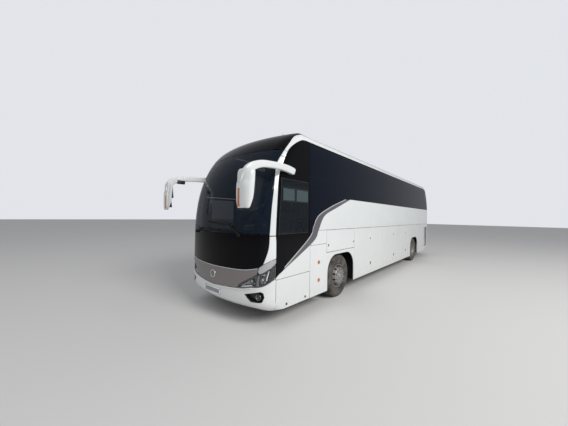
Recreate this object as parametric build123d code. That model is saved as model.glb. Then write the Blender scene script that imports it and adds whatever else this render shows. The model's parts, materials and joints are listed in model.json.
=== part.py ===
"""Coach bus, 13 m long, two axles, high deck, passenger doors on the right-hand side.

Millimetres. The nose points to -Y, the driver's side (the bus's left) is +X, the road is Z = 0.
"""
import os
from math import cos, pi, radians, sin, sqrt

from build123d import *

os.makedirs("parts", exist_ok=True)

# Driving dimensions
LENGTH = 13000
HALF_WIDTH = 1275
HEIGHT = 3800
WHEELBASE = 7080
FRONT_OVERHANG = 2800
FRONT_AXLE_Y = -3497

NOSE_Y = FRONT_AXLE_Y - FRONT_OVERHANG
TAIL_Y = NOSE_Y + LENGTH
REAR_AXLE_Y = FRONT_AXLE_Y + WHEELBASE

# Levels of the body, above the road
SKIRT_Z = 280
SHOULDER_Z = 1500
SEAM_Z = 1690
BELT_Z = 2460
CANT_Z = 3530
GLASS_TOP_Z = 3560
DECK_Z = 1430
CAB_FLOOR_Z = 950
HOLD_FLOOR_Z = 400

# Cross section above the belt
TUMBLEHOME = 40
CANT_R = 220
CROWN_EDGE_Z = 3747

# Plan of the nose and tail
NOSE_R = 3500
NOSE_CORNER_R = 350
TAIL_R = 7000
TAIL_CORNER_R = 250
NOSE_RAKE = 1450
TAIL_RAKE = 1100
NOSE_RAKE_Z = 1500
TAIL_RAKE_Z = 2300
RAKE_POWER = 2.3

WALL = 50
SEAM = 8
BUMPER_TUCK = 240

# Wheels, 295/80 R22.5
TYRE_R = 522
TYRE_W = 298
RIM_R = 286
WHEEL_X = 1090
TWIN_STEP = 335
KINGPIN_X = 900
AXLE_Z = TYRE_R
DISC_OFFSET = 167.5
HUB_R = 88
HAND_HOLES = 10
STEER_ARM = 170

# Openings along the sides, measured from the front axle
NOSE_SEAM = -2330
CORNER_SEAM = -1300
ARCH_FRONT = -640
ARCH_REAR = 780
BAY_SEAM = 2945
BAY_END = 5270
TAIL_SEAM = 6105
HOLD_START = 960
HOLD_END = 6040
CORNER_FLAP_TOP_Z = 850
LOW_SEAM_Z = 1390

# Passenger doors on the right, measured from the front axle
FRONT_DOOR = (-2240, -1330)
MID_DOOR = (4985, 5815)
DOOR_SILL_Z = 330
DOOR_TOP_Z = 2440
DOOR_ARM = 400
DOOR_POST = 70
DOOR_POST_X = -1170

TOW_Z = 380
TOW_R = 25
TOW_LUG = 80
SEAT_PITCH = 760
SEAT_ROWS = 13


def block(x0, x1, y0, y1, z0, z1):
    """A box between two corners."""
    size = Box(abs(x1 - x0), abs(y1 - y0), abs(z1 - z0))
    return Pos((x0 + x1) / 2, (y0 + y1) / 2, (z0 + z1) / 2) * size


def rod(x, y, z, radius, length, axis="X"):
    """A round bar centred on a point, along X, Y or Z."""
    turn = {"X": Rot(0, 90, 0), "Y": Rot(90, 0, 0), "Z": Rot(0, 0, 0)}[axis]
    return Pos(x, y, z) * turn * Cylinder(radius, length)


def side_prism(points, x0, x1):
    """An outline in (y, z), pushed along X."""
    face = Face(Wire.make_polygon([(x0, y, z) for y, z in points]))
    return extrude(face, amount=x1 - x0, dir=(1, 0, 0))


def front_prism(points, y0, y1):
    """An outline in (x, z), pushed along Y."""
    face = Face(Wire.make_polygon([(x, y0, z) for x, z in points]))
    return extrude(face, amount=y1 - y0, dir=(0, 1, 0))


def both_sides(shape):
    """A piece and its mirror image across the bus."""
    return Compound(children=[*shape.solids(), *mirror(shape, about=Plane.YZ).solids()])


def rake(z, start, amount):
    """How far the nose or tail leans in at a height."""
    t = max(0.0, min(1.0, (z - start) / (HEIGHT - start)))
    return amount * (1 - sqrt(1 - t**RAKE_POWER))


def half_width(z):
    """Half of the body's width at a height below the roof's edge."""
    above = max(0, z - BELT_Z)
    return HALF_WIDTH - TUMBLEHOME * above / (CANT_Z - BELT_Z)


def plan_end(z, inset, end):
    """Where the nose (-1) or tail (1) lies at a height: its tip, radii, corner and bow centres."""
    if end < 0:
        tip = NOSE_Y + rake(z, NOSE_RAKE_Z, NOSE_RAKE)
        bow, corner = NOSE_R - inset, NOSE_CORNER_R - inset
    else:
        tip = TAIL_Y - rake(z, TAIL_RAKE_Z, TAIL_RAKE)
        bow, corner = TAIL_R - inset, TAIL_CORNER_R - inset
    tip -= end * inset
    wide = half_width(z) - inset
    bow_y = tip - end * bow
    corner_y = bow_y + end * sqrt((bow - corner) ** 2 - (wide - corner) ** 2)
    return tip, wide, bow, corner, bow_y, corner_y


def plan_wire(z, inset=0, tuck=0):
    """The body's outline in plan at a height: two bowed ends, four round corners, two sides."""
    edges = []
    runs = []
    for end in (-1, 1):
        tip, wide, bow, corner, bow_y, corner_y = plan_end(z, inset, end)
        if end < 0:
            tip, bow_y, corner_y = tip + tuck, bow_y + tuck, corner_y + tuck
        cx = wide - corner
        ux, uy = cx / (bow - corner), (corner_y - bow_y) / (bow - corner)
        meet = (bow * ux, bow_y + bow * uy)
        mx, my = ux + 1, uy
        scale = corner / sqrt(mx * mx + my * my)
        middle = (cx + mx * scale, corner_y + my * scale)
        runs.append(((wide, corner_y), middle, meet, (0, tip)))
    (side_a, mid_a, meet_a, tip_a), (side_b, mid_b, meet_b, tip_b) = runs

    def point(p, flip=1):
        return (flip * p[0], p[1], z)

    edges.append(Edge.make_three_point_arc(point(meet_a, -1), point(tip_a), point(meet_a)))
    edges.append(Edge.make_three_point_arc(point(meet_a), point(mid_a), point(side_a)))
    edges.append(Edge.make_line(point(side_a), point(side_b)))
    edges.append(Edge.make_three_point_arc(point(side_b), point(mid_b), point(meet_b)))
    edges.append(Edge.make_three_point_arc(point(meet_b), point(tip_b), point(meet_b, -1)))
    edges.append(Edge.make_three_point_arc(point(meet_b, -1), point(mid_b, -1), point(side_b, -1)))
    edges.append(Edge.make_line(point(side_b, -1), point(side_a, -1)))
    edges.append(Edge.make_three_point_arc(point(side_a, -1), point(mid_a, -1), point(meet_a, -1)))
    return Wire(edges)


def section_prism(inset=0, y0=NOSE_Y - 100, y1=TAIL_Y + 100):
    """The body's cross section, pushed along the bus: upright sides, lean, round cantrail, crown."""
    low, belt, cant = SKIRT_Z - 10, BELT_Z, CANT_Z
    wide = HALF_WIDTH - inset
    cant_x = wide - TUMBLEHOME
    radius = CANT_R - inset
    centre_x = HALF_WIDTH - TUMBLEHOME - CANT_R
    rise = (CROWN_EDGE_Z - CANT_Z) / CANT_R
    edge_x = centre_x + radius * sqrt(1 - rise * rise)
    edge_z = cant + radius * rise
    mid = (centre_x + radius * cos(radians(40)), cant + radius * sin(radians(40)))

    def at(x, z):
        return (x, y0, z)

    edges = [
        Edge.make_line(at(-wide, low), at(wide, low)),
        Edge.make_line(at(wide, low), at(wide, belt)),
        Edge.make_line(at(wide, belt), at(cant_x, cant)),
        Edge.make_three_point_arc(at(cant_x, cant), at(*mid), at(edge_x, edge_z)),
        Edge.make_three_point_arc(at(edge_x, edge_z), at(0, HEIGHT - inset), at(-edge_x, edge_z)),
        Edge.make_three_point_arc(at(-edge_x, edge_z), at(-mid[0], mid[1]), at(-cant_x, cant)),
        Edge.make_line(at(-cant_x, cant), at(-wide, belt)),
        Edge.make_line(at(-wide, belt), at(-wide, low)),
    ]
    return extrude(Face(Wire(edges)), amount=y1 - y0, dir=(0, 1, 0))


def upper_form(inset=0):
    """The body above the shoulder: plan outlines lofted up the raked ends, under the crown."""
    levels = (SHOULDER_Z, 1900, 2300, BELT_Z, 2800, 3100, 3350, 3530, 3660, 3750, 3790, HEIGHT)
    raised = Solid.make_loft([plan_wire(z, inset) for z in levels])
    return raised & section_prism(inset)


def lower_form(inset=0):
    """The body below the shoulder: upright, with the bumper tucked under."""
    upright = extrude(Face(plan_wire(560, inset)), amount=SHOULDER_Z - 560, dir=(0, 0, 1))
    levels = ((560, 0), (430, 30), (340, 100), (SKIRT_Z, BUMPER_TUCK))
    tucked = Solid.make_loft([plan_wire(z, inset, tuck) for z, tuck in levels])
    return upright + tucked


# Lines on the sides, as (distance behind the front axle, height)
PILLAR_FRONT = ((-2480, 1490), (-2474, 1640), (-2430, 2150), (-2342, 2663), (-2262, 2951),
                (-2130, 3160), (-1960, 3370), (-1733, 3600), (-1500, 3690), (-1150, 3745))
PILLAR_REAR = ((-2330, 1490), (-2345, 1640), (-2325, 2150), (-2268, 2673), (-2145, 2972),
               (-1986, 3254), (-1800, 3420), (-1600, 3530), (-1450, GLASS_TOP_Z))
SWOOSH_OUTER = ((-2330, 905), (-2229, 956), (-2119, 1022), (-1330, 1562), (-1186, 1793),
                (-996, 2024), (-484, 2236), (250, BELT_Z))
SWOOSH_INNER = ((-2330, 860), (-2150, 956), (-2063, 1010), (-1178, 1466), (-988, 1699),
                (-747, 2016), (-196, 2221), (520, BELT_Z))
GLASS_TAIL = ((9890, BELT_Z), (9880, 2700), (9830, 3000), (9690, 3300), (9480, 3480),
              (9140, GLASS_TOP_Z))
CAP_REAR = -1150
GLASS_POST = -1330
TAIL_START = 9872

# Lines on the front, as (distance from the middle, height)
BLACK_EDGE = ((0, 1008), (700, 1020), (1000, 1040), (1100, 1075), (1166, 1165), (1219, 1363),
              (1243, 1571), (1250, 1660))
SILVER_TOP = ((1085, 1085), (1166, 1160), (1290, 1365))
LAMP_TOP = ((640, 700), (900, 905), (1100, 1045), (1290, 1225))
BUMPER_TOP = ((0, 640), (640, 672), (1165, 733), (1235, 835), (1290, 870))
WINDSCREEN_Z = (1660, 3255)


def along(points):
    """Side lines moved from the front axle to their place on the bus."""
    return [(FRONT_AXLE_Y + y, z) for y, z in points]


def side_band(points, left=True):
    """A side outline cut through one flank only."""
    return side_prism(along(points), 1150 if left else -1400, 1400 if left else -1150)


def panel(y0, y1, z0, z1, left=True, thick=WALL, gap=0):
    """A flat rectangle of the flank, measured from the front axle, less its shut lines."""
    x0, x1 = (HALF_WIDTH - thick, HALF_WIDTH) if left else (-HALF_WIDTH, thick - HALF_WIDTH)
    a, b = FRONT_AXLE_Y + y0 + gap, FRONT_AXLE_Y + y1 - gap
    return block(x0, x1, a, b, z0 + gap, z1 - gap)


def arch_outline(centre, ahead, behind, top, corner, low):
    """A wheel arch in (y, z): upright sides and two round shoulders."""
    points = [(centre - ahead, low)]
    for step in range(7):
        turn = radians(180 - 15 * step)
        points.append((centre - ahead + corner * (1 + cos(turn)), top - corner * (1 - sin(turn))))
    for step in range(7):
        turn = radians(90 - 15 * step)
        points.append((centre + behind - corner * (1 - cos(turn)), top - corner * (1 - sin(turn))))
    points.append((centre + behind, low))
    return points


ARCHES = {
    "front": arch_outline(0, 600, 735, 1085, 400, 200),
    "rear": arch_outline(WHEELBASE, 620, 660, 1100, 400, 200),
}

UPPER_SHELL = upper_form() - upper_form(WALL)
LOWER_SHELL = lower_form() - lower_form(WALL)

flank = UPPER_SHELL + LOWER_SHELL
NOSE_BOX = block(-1400, 1400, NOSE_Y - 200, FRONT_AXLE_Y + NOSE_SEAM, 100, 3900)
nose_line = [(-3000, SKIRT_Z - 20), (NOSE_SEAM, SKIRT_Z - 20), *PILLAR_REAR,
             (CAP_REAR, GLASS_TOP_Z), (CAP_REAR, 3900), (-3000, 3900)]
nose_skin = flank & side_prism(along(nose_line), -1400, 1400)
screen_line = [(-3000, WINDSCREEN_Z[0]), (-2474, WINDSCREEN_Z[0]), *PILLAR_FRONT[2:],
               (CAP_REAR, 3900), (-3000, 3900)]
screen_area = side_prism(along(screen_line), -1400, 1400)
screen_skin = nose_skin & screen_area

solids = {}


def keep(name, *shapes):
    """Name a sub-part: one solid, or several that do not touch."""
    pieces = [solid for shape in shapes for solid in shape.solids()]
    solids[name] = pieces[0] if len(pieces) == 1 else Compound(children=pieces)


def mirrored_line(points):
    """A front line drawn across both halves, left to right."""
    return [(-x, z) for x, z in reversed(points) if x > 0] + list(points)


# Nose
black_area = front_prism(mirrored_line(BLACK_EDGE), NOSE_Y - 200, NOSE_Y + 900)
nose_low = nose_skin - screen_area
keep("front_black_panel", nose_low & black_area)
nose_low -= black_area
keep("windshield", screen_skin & block(-1400, 1400, NOSE_Y - 200, 0, 0, WINDSCREEN_Z[1]))
keep("front_roof_cap", screen_skin & block(-1400, 1400, NOSE_Y - 200, 0, WINDSCREEN_Z[1], 3900))

# White cheeks and pillars, silver band, lamps and bumper, all cut from the same bowed skin
below_trim = front_prism(mirrored_line(((0, 1008), *SILVER_TOP)) + [(1290, 100), (-1290, 100)],
                         NOSE_Y - 200, NOSE_Y + 900)
below_lamp = front_prism(mirrored_line(((0, 640), *LAMP_TOP)) + [(1290, 100), (-1290, 100)],
                         NOSE_Y - 200, NOSE_Y + 900)
bumper_area = front_prism(mirrored_line(BUMPER_TOP) + [(1290, 100), (-1290, 100)],
                          NOSE_Y - 200, NOSE_Y + 900)
fog_recess = front_prism([(853, 590), (1166, 664), (1200, 570), (1168, 483), (969, 476)],
                         NOSE_Y - 200, NOSE_Y + 900)
fog_recesses = fog_recess + mirror(fog_recess, about=Plane.YZ)
keep("front_mask", nose_low - below_trim - block(-950, 950, NOSE_Y, 0, 3400, 3900))
nose_low = nose_low & below_trim
keep("front_silver_band", nose_low - below_lamp - bumper_area)
nose_low = nose_low & (below_lamp + bumper_area)
keep("headlamps", nose_low - bumper_area)
keep("front_bumper", (nose_low & bumper_area) - fog_recesses)
fog_skin = (lower_form(25) - lower_form(WALL)) & NOSE_BOX
keep("fog_lamps", fog_skin & fog_recesses)

# Flanks: a white wall with its swoosh, black front panel, glass, doors and flaps
wall_line = [(NOSE_SEAM, SKIRT_Z), *SWOOSH_INNER, (TAIL_START, BELT_Z), (TAIL_START, SKIRT_Z)]
swoosh_line = [*SWOOSH_INNER, *reversed(SWOOSH_OUTER)]
FLAPS = {
    # name: side, start, end, bottom, top
    "corner_flap_left": ("left", NOSE_SEAM, CORNER_SEAM, SKIRT_Z, CORNER_FLAP_TOP_Z),
    "arch_flap_left": ("left", ARCH_FRONT, ARCH_REAR, 1165, SEAM_Z),
    "luggage_flap_left_1": ("left", ARCH_REAR, BAY_SEAM, SKIRT_Z, SEAM_Z),
    "luggage_flap_left_2": ("left", BAY_SEAM, BAY_END, SKIRT_Z, SEAM_Z),
    "luggage_flap_left_3": ("left", BAY_END, TAIL_SEAM, SKIRT_Z, SEAM_Z),
    "luggage_flap_right_1": ("right", ARCH_REAR, BAY_SEAM, SKIRT_Z, SEAM_Z),
    "luggage_flap_right_2": ("right", BAY_SEAM, MID_DOOR[0], SKIRT_Z, SEAM_Z),
}
GRILLE = (9180, 9780, 520, 1510)
for side, left in (("left", True), ("right", False)):
    wall = flank & side_band(wall_line, left)
    wall -= block(-1200, 1200, NOSE_Y, TAIL_Y, SKIRT_Z, 600)
    for arch in ARCHES.values():
        wall -= side_band(arch, left)
    for flap_side, y0, y1, z0, z1 in FLAPS.values():
        if flap_side == side:
            wall -= panel(y0, y1, z0 - 20, z1, left, 2 * WALL)
    tail_kick = [(8960, SKIRT_Z - 10), (10300, SKIRT_Z - 10), (10300, 510), (8960, 300)]
    wall -= side_band(tail_kick, left)
    wall -= panel(*GRILLE, left, 2 * WALL)
    slats = [panel(GRILLE[0] - 2, GRILLE[1] + 2, z, z + 45, left, 30)
             for z in range(GRILLE[2] + 20, GRILLE[3] - 40, 82)]
    wall = wall.fuse(*slats)
    black_line = [*SWOOSH_OUTER[:4], (GLASS_POST, GLASS_TOP_Z),
                  *reversed(PILLAR_REAR)]
    black = flank & side_band(black_line, left)
    glass_line = [*SWOOSH_OUTER[3:], *GLASS_TAIL, (GLASS_POST, GLASS_TOP_Z)]
    glass = flank & side_band(glass_line, left)
    swoosh = flank & side_band(swoosh_line, left)
    if left:
        window = side_prism(along([(-2300, 1650), (GLASS_POST - 45, 1650), (GLASS_POST - 45, 2700),
                                   (-2215, 2700)]), 600, 1400)
        keep("driver_window", black & window)
        keep("front_side_left", black - window)
    else:
        front_cut = side_band([(FRONT_DOOR[0], DOOR_SILL_Z), (FRONT_DOOR[1], DOOR_SILL_Z),
                               (FRONT_DOOR[1], DOOR_TOP_Z), (FRONT_DOOR[0], DOOR_TOP_Z)], False)
        mid_cut = side_band([(MID_DOOR[0], DOOR_SILL_Z), (MID_DOOR[1], DOOR_SILL_Z),
                             (MID_DOOR[1], DOOR_TOP_Z), (MID_DOOR[0], DOOR_TOP_Z)], False)
        wall = wall - front_cut - mid_cut
        black = black - front_cut
        swoosh = swoosh - front_cut
        glass = glass - front_cut
        keep("front_side_right", black)
    keep("side_wall_" + side, wall)
    keep("glazing_" + side, glass)
    solids["swoosh_" + side] = swoosh
keep("side_swooshes", solids.pop("swoosh_left"), solids.pop("swoosh_right"))
for name, (side, y0, y1, z0, z1) in FLAPS.items():
    keep(name, panel(y0, y1, z0 - SEAM, z1, side == "left", WALL - 5, SEAM))


# Roof, tail and what closes them
roof_line = [(CAP_REAR, GLASS_TOP_Z), (10300, GLASS_TOP_Z), (10300, 3900), (CAP_REAR, 3900)]
roof = UPPER_SHELL & side_prism(along(roof_line), -1400, 1400)
HATCHES = ((900, 1650), (7300, 8050))
for y0, y1 in HATCHES:
    hatch = block(-360, 360, FRONT_AXLE_Y + y0, FRONT_AXLE_Y + y1, 3770, 3835)
    hatch = fillet(hatch.edges().filter_by(Axis.Z), 70)
    hatch = chamfer(hatch.faces().sort_by(Axis.Z)[-1].edges(), 12)
    roof += hatch
keep("roof_panel", roof)
tail_line = [(TAIL_START, SKIRT_Z - 10), (TAIL_START, BELT_Z), *GLASS_TAIL,
             (10300, GLASS_TOP_Z), (10300, 0)]
tail = flank & side_prism(along(tail_line), -1400, 1400)
tail -= side_prism(along(tail_kick), -1400, 1400)
TAIL_BOX = (TAIL_Y - 900, TAIL_Y + 100)
REAR_GLASS = (-1010, 1010, 2380, 3330)
LAMP = (960, 1200, 760, 1560)
LID = (-890, 890, 620, 1700)


def tail_block(x0, x1, z0, z1, inset=0):
    """A rectangle of the tail, as (x, z), cut right through its skin."""
    return block(x0 + inset, x1 - inset, *TAIL_BOX, z0 + inset, z1 - inset)


tail -= tail_block(*LID)
rear_glass = tail_block(*REAR_GLASS)
keep("rear_window", tail & rear_glass)
tail -= rear_glass
lamp_cuts = both_sides(tail_block(*LAMP))
keep("tail_lamps", tail & lamp_cuts)
tail -= lamp_cuts
bumper_cut = tail_block(-1400, 1400, 0, 600)
keep("rear_bumper", tail & bumper_cut)
keep("rear_mask", tail - bumper_cut)

# Engine lid, with two banks of cooling louvres cut through it
LOUVRES = (90, 650, 780, 9, 42, 16)
lid_skin = (lower_form() - lower_form(WALL - 5)) + (upper_form() - upper_form(WALL - 5))
lid = lid_skin & tail_block(*LID, SEAM)
x0, x1, low, rows, pitch, slot = LOUVRES
for row in range(rows):
    lid -= both_sides(tail_block(x0, x1, low + row * pitch, low + row * pitch + slot))
keep("engine_lid", lid)


# Running gear
def ring(x, y, z, profile):
    """A wheel-like piece: a profile of (radius, distance along X) turned about the axle."""
    face = Face(Wire.make_polygon([(across, 0, radius) for radius, across in profile]))
    return Pos(x, y, z) * revolve(face, Axis.X, 360)


def tyre(x, y):
    """A tubeless tyre: bead, round sidewalls and shoulders, flat tread."""
    half = TYRE_W / 2
    side = ((RIM_R, half - 25), (400, half), (485, half - 14), (TYRE_R, half - 48))
    profile = [(radius, -across) for radius, across in side] + list(reversed(side))
    return ring(x, y, AXLE_Z, profile)


def rim(x, y, out):
    """A steel disc wheel: rolled rim, dished disc with ten hand holes, open at the hub."""
    half = TYRE_W / 2 - 25
    low = RIM_R - 0.3
    outer = ((low, half), (RIM_R - 10, half - 40), (RIM_R - 30, 30))
    inner = ((RIM_R - 44, 30), (RIM_R - 14, half))
    rolled = [(radius, -across) for radius, across in outer] + list(reversed(outer))
    rolled += list(reversed(inner)) + [(radius, -across) for radius, across in inner]
    a = DISC_OFFSET
    dish = [(252, a - 125), (205, a - 14), (185, a), (HUB_R, a), (HUB_R, a - 14), (182, a - 14),
            (200, a - 28), (252, a - 141)]
    disc = ring(x, y, AXLE_Z, [(radius, out * across) for radius, across in dish])
    for step in range(HAND_HOLES):
        turn = 2 * pi * (step + 0.5) / HAND_HOLES
        disc -= rod(x, y + 218 * cos(turn), AXLE_Z + 218 * sin(turn), 24, 500)
    return ring(x, y, AXLE_Z, rolled) + disc


def hub(face_x, y, out, cap, inward):
    """A wheel hub: end cap, sleeve round the spindle, flange behind the disc and brake drum."""
    outline = [(0, cap), (58, cap), (HUB_R, cap - 16), (HUB_R, -14), (174, -14), (174, -inward),
               (152, -inward), (152, -34), (66, -34), (66, -inward), (52, -inward), (52, cap - 30),
               (0, cap - 30)]
    return ring(face_x, y, AXLE_Z, [(radius, out * across) for radius, across in outline])


for side, out in (("left", 1), ("right", -1)):
    x = out * WHEEL_X
    keep("tyre_front_" + side, tyre(x, FRONT_AXLE_Y))
    front_hub = hub(x + out * DISC_OFFSET, FRONT_AXLE_Y, out, 14, 190)
    keep("rim_front_" + side, rim(x, FRONT_AXLE_Y, out) + front_hub)
    twin_x = x - out * TWIN_STEP
    keep("tyres_rear_" + side, tyre(x, REAR_AXLE_Y), tyre(twin_x, REAR_AXLE_Y))
    rear_hub = hub(x - out * DISC_OFFSET, REAR_AXLE_Y, out, 190, 220)
    twin = rim(x, REAR_AXLE_Y, -out) + rim(twin_x, REAR_AXLE_Y, out)
    keep("rims_rear_" + side, twin + rear_hub)

    knuckle = rod(out * (KINGPIN_X + 190), FRONT_AXLE_Y, AXLE_Z, 44, 250)
    knuckle += block(out * (KINGPIN_X + 58), out * (KINGPIN_X + 88), FRONT_AXLE_Y - 55,
                     FRONT_AXLE_Y + 55, AXLE_Z - 110, AXLE_Z + 110)
    for level in (-84, 84):
        knuckle += rod(out * KINGPIN_X, FRONT_AXLE_Y, AXLE_Z + level, 42, 52, "Z")
        knuckle += block(out * KINGPIN_X, out * (KINGPIN_X + 60), FRONT_AXLE_Y - 40,
                         FRONT_AXLE_Y + 40, AXLE_Z + level - 26, AXLE_Z + level + 26)
    knuckle += rod(out * KINGPIN_X, FRONT_AXLE_Y, AXLE_Z, 20, 200, "Z")
    knuckle += block(out * (KINGPIN_X - 16), out * (KINGPIN_X + 16), FRONT_AXLE_Y,
                     FRONT_AXLE_Y + STEER_ARM + 24, AXLE_Z - 110, AXLE_Z - 84)
    knuckle += rod(out * KINGPIN_X, FRONT_AXLE_Y + STEER_ARM, AXLE_Z - 125, 14, 40, "Z")
    keep("knuckle_" + side, knuckle)

tie = rod(0, FRONT_AXLE_Y + STEER_ARM, AXLE_Z - 130, 20, 2 * KINGPIN_X - 50)
for out in (1, -1):
    tie += rod(out * KINGPIN_X, FRONT_AXLE_Y + STEER_ARM, AXLE_Z - 130, 32, 30, "Z")
    tie -= rod(out * KINGPIN_X, FRONT_AXLE_Y + STEER_ARM, AXLE_Z - 130, 17, 60, "Z")
keep("tie_rod", tie)

beam = front_prism([(-870, 492), (-700, 492), (-600, 400), (600, 400), (700, 492), (870, 492),
                    (870, 552), (660, 552), (560, 480), (-560, 480), (-660, 552), (-870, 552)],
                   FRONT_AXLE_Y - 38, FRONT_AXLE_Y + 38)
for out in (1, -1):
    beam += rod(out * KINGPIN_X, FRONT_AXLE_Y, AXLE_Z, 42, 100, "Z")
    beam -= rod(out * KINGPIN_X, FRONT_AXLE_Y, AXLE_Z, 25, 140, "Z")
    beam += block(out * 515, out * 635, FRONT_AXLE_Y - 90, FRONT_AXLE_Y + 90, 470, 505)
    for level, radius in ((535, 96), (600, 108), (665, 108), (730, 96)):
        beam += rod(out * 575, FRONT_AXLE_Y, level, radius, 70, "Z")
keep("front_axle_beam", beam)

axle = rod(0, REAR_AXLE_Y, AXLE_Z, 72, 1180) + rod(0, REAR_AXLE_Y, AXLE_Z, 44, 2 * 1060)
axle += ring(0, REAR_AXLE_Y, AXLE_Z, [(0, -190), (150, -150), (205, -60), (205, 60), (150, 150),
                                      (0, 190)])
axle += rod(0, REAR_AXLE_Y + 230, AXLE_Z + 20, 70, 160, "Y")
for out in (1, -1):
    axle += block(out * 380, out * 500, REAR_AXLE_Y - 560, REAR_AXLE_Y + 560, 440, 500)
    for behind in (-480, 480):
        for level, radius in ((535, 115), (610, 128), (685, 128), (755, 110)):
            axle += rod(out * 440, REAR_AXLE_Y + behind, level, radius, 76, "Z")
keep("rear_axle", axle)


# Chassis, floors and hold
RAIL = ((-2450, HOLD_START, 600, 800), (HOLD_END, 7900, 800, 960))
frame = Part()
for y0, y1, z0, z1 in RAIL:
    for out in (1, -1):
        frame += block(out * 340, out * 440, FRONT_AXLE_Y + y0, FRONT_AXLE_Y + y1, z0, z1)
for y, z0, z1 in ((-2450, 600, 800), (-900, 600, 800), (700, 600, 800), (6200, 800, 960),
                  (7750, 800, 960)):
    frame += block(-440, 440, FRONT_AXLE_Y + y, FRONT_AXLE_Y + y + 80, z0, z1)
for out in (1, -1):
    frame += block(out * 440, out * 690, FRONT_AXLE_Y - 110, FRONT_AXLE_Y + 110, 765, 800)
    frame += block(out * 340, out * 570, REAR_AXLE_Y - 600, REAR_AXLE_Y + 600, 793, 830)
    frame += block(out * 470, out * 550, FRONT_AXLE_Y + 7750, FRONT_AXLE_Y + 9850, 800, 900)
    frame += block(out * 440, out * 550, FRONT_AXLE_Y + 7750, FRONT_AXLE_Y + 7830, 800, 960)
frame += block(-550, 550, FRONT_AXLE_Y + 9770, FRONT_AXLE_Y + 9850, 800, 900)

# Tow eyes: a flat plate hung ahead of the front member, an upright lug under the rear one
NOSE_EYE_Y = FRONT_AXLE_Y - 2445
TAIL_EYE_Y = FRONT_AXLE_Y + 9810
half_lug = TOW_LUG / 2
frame += block(-60, 60, NOSE_EYE_Y + 55, NOSE_EYE_Y + 105, TOW_Z - half_lug, 600)
frame += block(-60, 60, NOSE_EYE_Y - 55, NOSE_EYE_Y + 105, TOW_Z - half_lug, TOW_Z + half_lug)
frame -= rod(0, NOSE_EYE_Y, TOW_Z, TOW_R, 2 * TOW_LUG, "Z")
frame += block(-half_lug, half_lug, TAIL_EYE_Y - half_lug, TAIL_EYE_Y + half_lug, TOW_Z - 50, 800)
frame -= rod(0, TAIL_EYE_Y, TOW_Z, TOW_R, 2 * TOW_LUG)
keep("underframe", frame)

y0, y1 = FRONT_AXLE_Y + HOLD_START, FRONT_AXLE_Y + HOLD_END
inside = HALF_WIDTH - WALL
stair_y0, stair_y1 = FRONT_AXLE_Y + MID_DOOR[0] - 40, FRONT_AXLE_Y + MID_DOOR[1] + 40
hold = block(-inside, inside, y0, y1, HOLD_FLOOR_Z - 20, HOLD_FLOOR_Z)
hold += block(-inside, inside, y0, y0 + 30, HOLD_FLOOR_Z, DECK_Z - 40)
hold += block(-inside, inside, y1 - 30, y1, HOLD_FLOOR_Z, DECK_Z - 40)
hold -= block(-inside - 10, -560, stair_y0, stair_y1, 300, DECK_Z)
for out, y in ((1, BAY_SEAM), (1, BAY_END), (-1, BAY_SEAM)):
    hold += block(out * 1150, out * inside, FRONT_AXLE_Y + y - 30, FRONT_AXLE_Y + y + 30,
                  HOLD_FLOOR_Z, DECK_Z - 40)
for out in (1, -1):
    for y in (y0 + 100, stair_y0 - 200):
        hold += block(out * 850, out * 970, y - 60, y + 60, HOLD_FLOOR_Z - 50, HOLD_FLOOR_Z - 20)
keep("luggage_hold", hold)

def board(x0, x1, y0, y1, z0, z1):
    """A floor board, half a millimetre short of its neighbours."""
    return block(x0 + 0.5, x1 - 0.5, y0 + 0.5, y1 - 0.5, z0 + 0.5, z1)


deck_y0, deck_y1 = FRONT_AXLE_Y - 1000, FRONT_AXLE_Y + 9800
door_y0, door_y1 = FRONT_AXLE_Y + FRONT_DOOR[0], FRONT_AXLE_Y + FRONT_DOOR[1]
boards = [
    board(-inside, inside, deck_y0, stair_y0, DECK_Z - 40, DECK_Z),
    board(-600, inside, stair_y0, stair_y1, DECK_Z - 40, DECK_Z),
    board(-inside, inside, stair_y1, deck_y1, DECK_Z - 40, DECK_Z),
    board(-440, inside, deck_y0, deck_y0 + 40, 800, DECK_Z - 40),
    board(-440, 1150, FRONT_AXLE_Y - 2440, deck_y0, CAB_FLOOR_Z - 40, CAB_FLOOR_Z),
    board(-1222, -440, door_y1, deck_y0 + 40, CAB_FLOOR_Z - 40, CAB_FLOOR_Z),
    board(-250, 250, deck_y0 - 280, deck_y0, CAB_FLOOR_Z, CAB_FLOOR_Z + 240),
]
STEPS = (
    # outer x, inner x, start, end, level, top of the riser at its inner edge
    (-1222, -950, door_y0, door_y1, 380, 665),
    (-950, -690, door_y0, door_y1, 665, CAB_FLOOR_Z),
    (-690, -440, door_y0, door_y1, CAB_FLOOR_Z, CAB_FLOOR_Z),
    (-1222, -1060, stair_y0, stair_y1, 380, 590),
    (-1060, -900, stair_y0, stair_y1, 590, 800),
    (-900, -740, stair_y0, stair_y1, 800, 1010),
    (-740, -600, stair_y0, stair_y1, 1010, DECK_Z),
)
for x0, x1, y0, y1, level, riser_top in STEPS:
    boards.append(board(x0, x1, y0, y1, level - 30, level))
    if riser_top > level:
        boards.append(board(x1 - 30, x1, y0, y1, level, riser_top))
keep("floor_deck", *boards)

liners = Part()
LINERS = (
    # axle, ahead, behind, inner wall, top, end and top of the axle's slot
    (FRONT_AXLE_Y, 640, 780, 528, 1110, 260, 805),
    (REAR_AXLE_Y, 650, 690, 575, 1125, 130, 640),
)
for y, ahead, behind, inner, top, slot, slot_top in LINERS:
    outer = block(inner, inside, y - ahead, y + behind, 300, top + 12)
    outer -= block(inner + 12, inside + 10, y - ahead + 12, y + behind - 12, 200, top)
    liners += outer - block(inner - 10, inner + 20, y - 130, y + slot, 200, slot_top)
keep("wheel_housings", both_sides(liners))
keep("engine_block", block(-470, 470, FRONT_AXLE_Y + 8250, FRONT_AXLE_Y + 9550, 470, 1250))

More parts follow.
